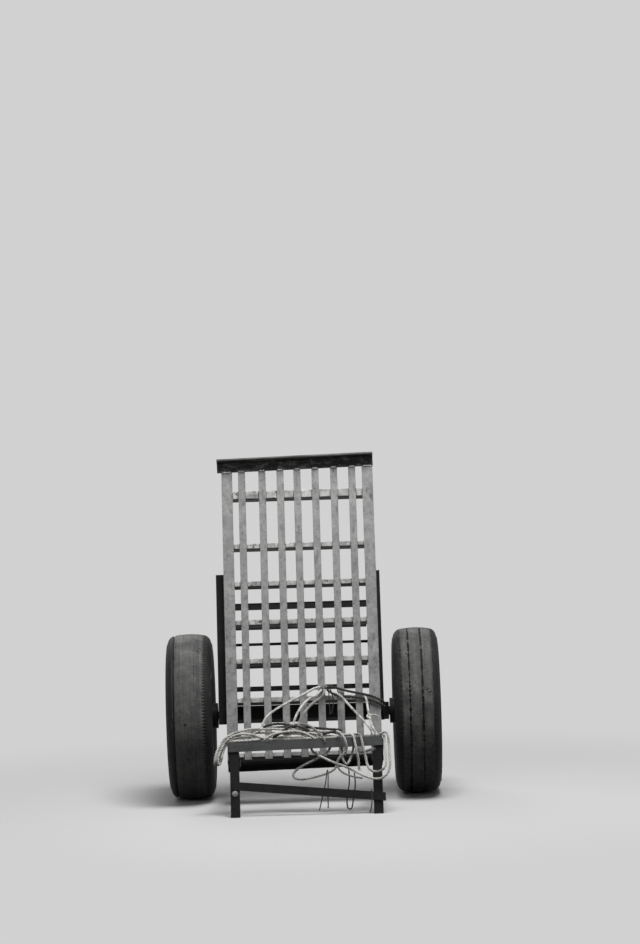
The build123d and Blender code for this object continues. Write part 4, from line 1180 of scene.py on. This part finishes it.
for slat in SLATS + ["rail_left", "rail_right"]:
    (left, _, _), (right, top, front) = bed_span(slat)
    weld((left + 1.0, top - 1.0, front), (right - 1.0, top - 0.6, front), 4.6)
save_welds("handle_welds", zinc_plate, "slat_paint")

# %% The beads of the rear frame and the toe frame
for hand in ("left", "right"):
    low, high = bed_span("upright_" + hand)
    rail_low, rail_high = bed_span("rail_" + hand)
    outer = rail_low[0] if hand == "left" else rail_high[0]
    for middle in UPRIGHT_WELDS:
        weld((outer, middle - UPRIGHT_RUN / 2, high[2]), (outer, middle + UPRIGHT_RUN / 2, high[2]), 2.8)
    for shelf in ("shelf_lower", "shelf_upper"):
        shelf_low, shelf_high = bed_span(shelf)
        for edge in (shelf_low[1], shelf_high[1]):
            weld((low[0] + 5, edge, low[2]), (high[0] - 5, edge, low[2]), 2.8)
    plate_low, plate_high = bed_span("axle_plate_" + hand)
    for face in (plate_low[0], plate_high[0]):
        weld((face, plate_low[1] + 4, plate_high[2]), (face, plate_high[1] - 4, plate_high[2]), 3.0)
        weld((face, -AXLE_RUN / 2, plate_low[2]), (face, AXLE_RUN / 2, plate_low[2]), 3.4)

for arm in ("toe_arm_left", "toe_arm_right"):
    low, high = bed_span(arm)
    top = FOOT + (low[0] + high[0]) / 2 * TOE_SLOPE
    for depth, size in ((low[2], 3.0), (high[2], 2.6)):
        weld((low[0] + 3, top - 0.5, depth), (high[0] - 3, top - 0.5, depth), size)
    for face in (low[0], high[0]):
        weld((face, low[1] + 6, low[2]), (face, high[1] - 3, low[2]), 2.8)
save_welds("frame_welds", weld_metal, "dark_steel")

# %% [markdown]
# ## Turned small parts
#
# The bolt through the left leg and the rubber valves of the wheels are round about an axis. Each could be a
# stack of cylinders, but a profile turned about its axis gives their rounded edges in one go. The bolt's head
# is a hexagon, so some of its rings are cut off at six flats.

# %% Turn a profile about an axis
HEX_SECTOR = math.pi / 6         # half of one side of a hexagon, seen from its middle


def turned(name, foot, direction, profile, finish, body, slot, sides=32):
    """Spin a profile of (along, radius, half width across flats or 0 where it is round), in millimetres."""
    direction = direction.normalized()
    side = direction.orthogonal().normalized()
    other = direction.cross(side)
    corners, faces = [], []
    for along, radius, flat in profile:
        for angle in circle(sides):
            reach = radius
            if flat:
                reach = min(radius, flat / math.cos(angle % (2 * HEX_SECTOR) - HEX_SECTOR))
            corners.append(foot + direction * along * MM + around(side, other, angle) * reach * MM)
    skin(faces, 0, len(profile), sides)
    settle(piece_of(name, corners, faces, smooth=False), finish, body, slot)
    print(name, "turned from", len(profile), "rings")


# %% The bolt and the valves
BOLT_PLACE = toe(-237, -175, 434)
BOLT_PROFILE = (
    (-1.0, 10.0, 0), (0.6, 10.4, 0), (1.5, 10.4, 0), (1.9, 9.9, 0), (1.9, 8.2, 7.2), (2.3, 8.5, 7.4),
    (6.6, 8.5, 7.4), (7.4, 7.4, 7.0), (7.6, 4.4, 0), (10.4, 4.3, 0), (10.9, 3.7, 0),
)
turned("leg_bolt", BOLT_PLACE, out_of_bed, BOLT_PROFILE, zinc_plate, "chassis", "zinc_steel", sides=48)

VALVE_TURN = math.radians(202.5)
VALVE_TILT = math.radians(22)
VALVE_OUT = 0.037                # metres out of the wheel's middle, and from the axle
VALVE_RADIUS = 0.1565
VALVE_PROFILE = (
    (2, 6.6, 0), (3.5, 7.4, 0), (5, 7.4, 0), (6.2, 6.5, 0), (12, 6.2, 0), (18, 5.9, 0), (22.5, 5.8, 0),
    (24.4, 5.7, 0), (24.6, 4.4, 0), (25.2, 4.6, 0), (26.2, 4.3, 0), (27.2, 4.6, 0), (28.2, 4.3, 0),
    (29.2, 4.6, 0), (30.4, 4.3, 0), (31.6, 4, 0), (31.9, 3, 0),
)
for name, outboard in (("left", Vector((-1, 0, 0))), ("right", Vector((1, 0, 0)))):
    spoke = Vector((0, -outboard.x * math.sin(VALVE_TURN), math.cos(VALVE_TURN)))
    foot = axle + outboard * (WHEEL_MIDDLE + VALVE_OUT) + spoke * VALVE_RADIUS
    lean = outboard * math.cos(VALVE_TILT) - spoke * math.sin(VALVE_TILT)
    turned("valve_" + name, foot, lean, VALVE_PROFILE, tyre_rubber, "wheel_" + name, "tyre_rubber")

# %% [markdown]
# ## Finish the steel
#
# The CAD pieces keep their shapes and only get their finishes. Each could be set one by one, but pieces of a
# kind have names that begin alike. So the first entry that fits a name gives the finish, and the last one
# takes the rest.

# %% Give each node its finish
FINISHES = (
    ("slat_", slat_enamel), ("rail_", slat_enamel), ("cross_bar_", bar_enamel), ("handle_bar", handle_paint),
    ("toe_front_bar", toe_enamel), ("rim_", rim_enamel), ("hub_", hub_iron), ("lug_nuts_", zinc_plate),
    ("cap_", zinc_plate), ("", mill_scale),
)
for name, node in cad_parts.items():
    finish = next(material for start, material in FINISHES if name.startswith(start))
    node.data.materials.clear()
    node.data.materials.append(finish)
print("finished nodes:", len(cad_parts))

# %% [markdown]
# ## The studio
#
# The cart stands on a plain pale floor. A large soft lamp hangs overhead, where most of the light came from,
# and two weaker ones fill from the front and the back. A wall behind the cart could be the backdrop, but it
# would hide the cart from the back. So the floor runs far out, and away from the cart both it and the world
# show the camera one even pale tone. Only the camera sees it pale: the light that bounces back up is weaker,
# so that the undersides stay dark.

# %% Floor and backdrop
FLOOR_COLOUR = "#c9c9c9"         # what the camera sees
BOUNCE_COLOUR = "#303030"        # what lights the cart from below
FLOOR_REACH = 30.0               # metres, far enough that its rim melts into the backdrop
EVEN_FROM = 0.8                  # metres from the cart, where the lit floor starts to turn into an even tone
EVEN_AT = 2.4                    # and where it is even
EVEN_LEVEL = 0.64                # how bright that tone is
WHITE = (1, 1, 1, 1)


def seen_by_camera(tree):
    """1 for what the camera sees, in a mirror or through glass too, and 0 for light that falls on things."""
    rays = add(tree, "ShaderNodeLightPath").node.outputs
    seen = maths(tree, "MAXIMUM", rays["Is Camera Ray"], rays["Is Glossy Ray"])
    return maths(tree, "MAXIMUM", seen, rays["Is Transmission Ray"])


def build_floor():
    """A round floor whose near part takes shadows and whose far part shows one even tone."""
    mesh = bpy.data.meshes.new("floor")
    round_floor = bmesh.new()
    bmesh.ops.create_circle(round_floor, cap_ends=True, segments=96, radius=FLOOR_REACH)
    round_floor.to_mesh(mesh)
    round_floor.free()
    floor = link("floor", mesh)
    material, tree = new_material("studio_floor")
    seen = seen_by_camera(tree)
    colour = blend_colours(tree, seen, BOUNCE_COLOUR, FLOOR_COLOUR)
    matt = add(tree, "ShaderNodeBsdfDiffuse", {"Color": colour})
    even = add(tree, "ShaderNodeEmission", {"Color": WHITE, "Strength": EVEN_LEVEL})
    away = measure(tree, "LENGTH", object_place(tree))
    share = maths(tree, "MULTIPLY", seen, step(tree, away, EVEN_FROM, EVEN_AT))
    surface = add(tree, "ShaderNodeMixShader", {0: share, 1: matt, 2: even})
    add(tree, "ShaderNodeOutputMaterial", {"Surface": surface})
    floor.data.materials.append(material)


build_floor()
print("floor", FLOOR_REACH, "metres out")

# %% Lamps and world
SKY_COLOUR = "#d8d8d8"
SKY_LEVEL = 0.26
LAMPS = (   # name, place, what it points at, size in metres, watts
    ("over", (0.6, -1.0, 4.3), (0.0, 0.0, 0.4), 2.2, 180),
    ("front", (-2.0, -4.8, 2.8), (0.0, 0.0, 0.5), 2.6, 32),
    ("back", (-1.6, 4.2, 3.0), (0.0, 0.0, 0.5), 2.4, 60),
)
for name, place, target, size, watts in LAMPS:
    light = bpy.data.lights.new(name, "AREA")
    light.shape = "DISK"
    light.size = size
    light.energy = watts
    lamp = link(name, light)
    lamp.location = place
    lamp.rotation_euler = (Vector(target) - Vector(place)).to_track_quat("-Z", "Y").to_euler()
    print("lamp", name, watts, "watts")

world = bpy.data.worlds.new("studio")
world.use_nodes = True
bpy.context.scene.world = world
sky = world.node_tree
sky.nodes.clear()
lit = add(sky, "ShaderNodeBackground", {"Color": hex_colour(SKY_COLOUR), "Strength": SKY_LEVEL})
pale = add(sky, "ShaderNodeBackground", {"Color": WHITE, "Strength": EVEN_LEVEL})
mixed = add(sky, "ShaderNodeMixShader", {0: seen_by_camera(sky), 1: lit, 2: pale})
add(sky, "ShaderNodeOutputWorld", {"Surface": mixed})
bpy.context.scene.view_settings.view_transform = "Standard"

# %% Finish
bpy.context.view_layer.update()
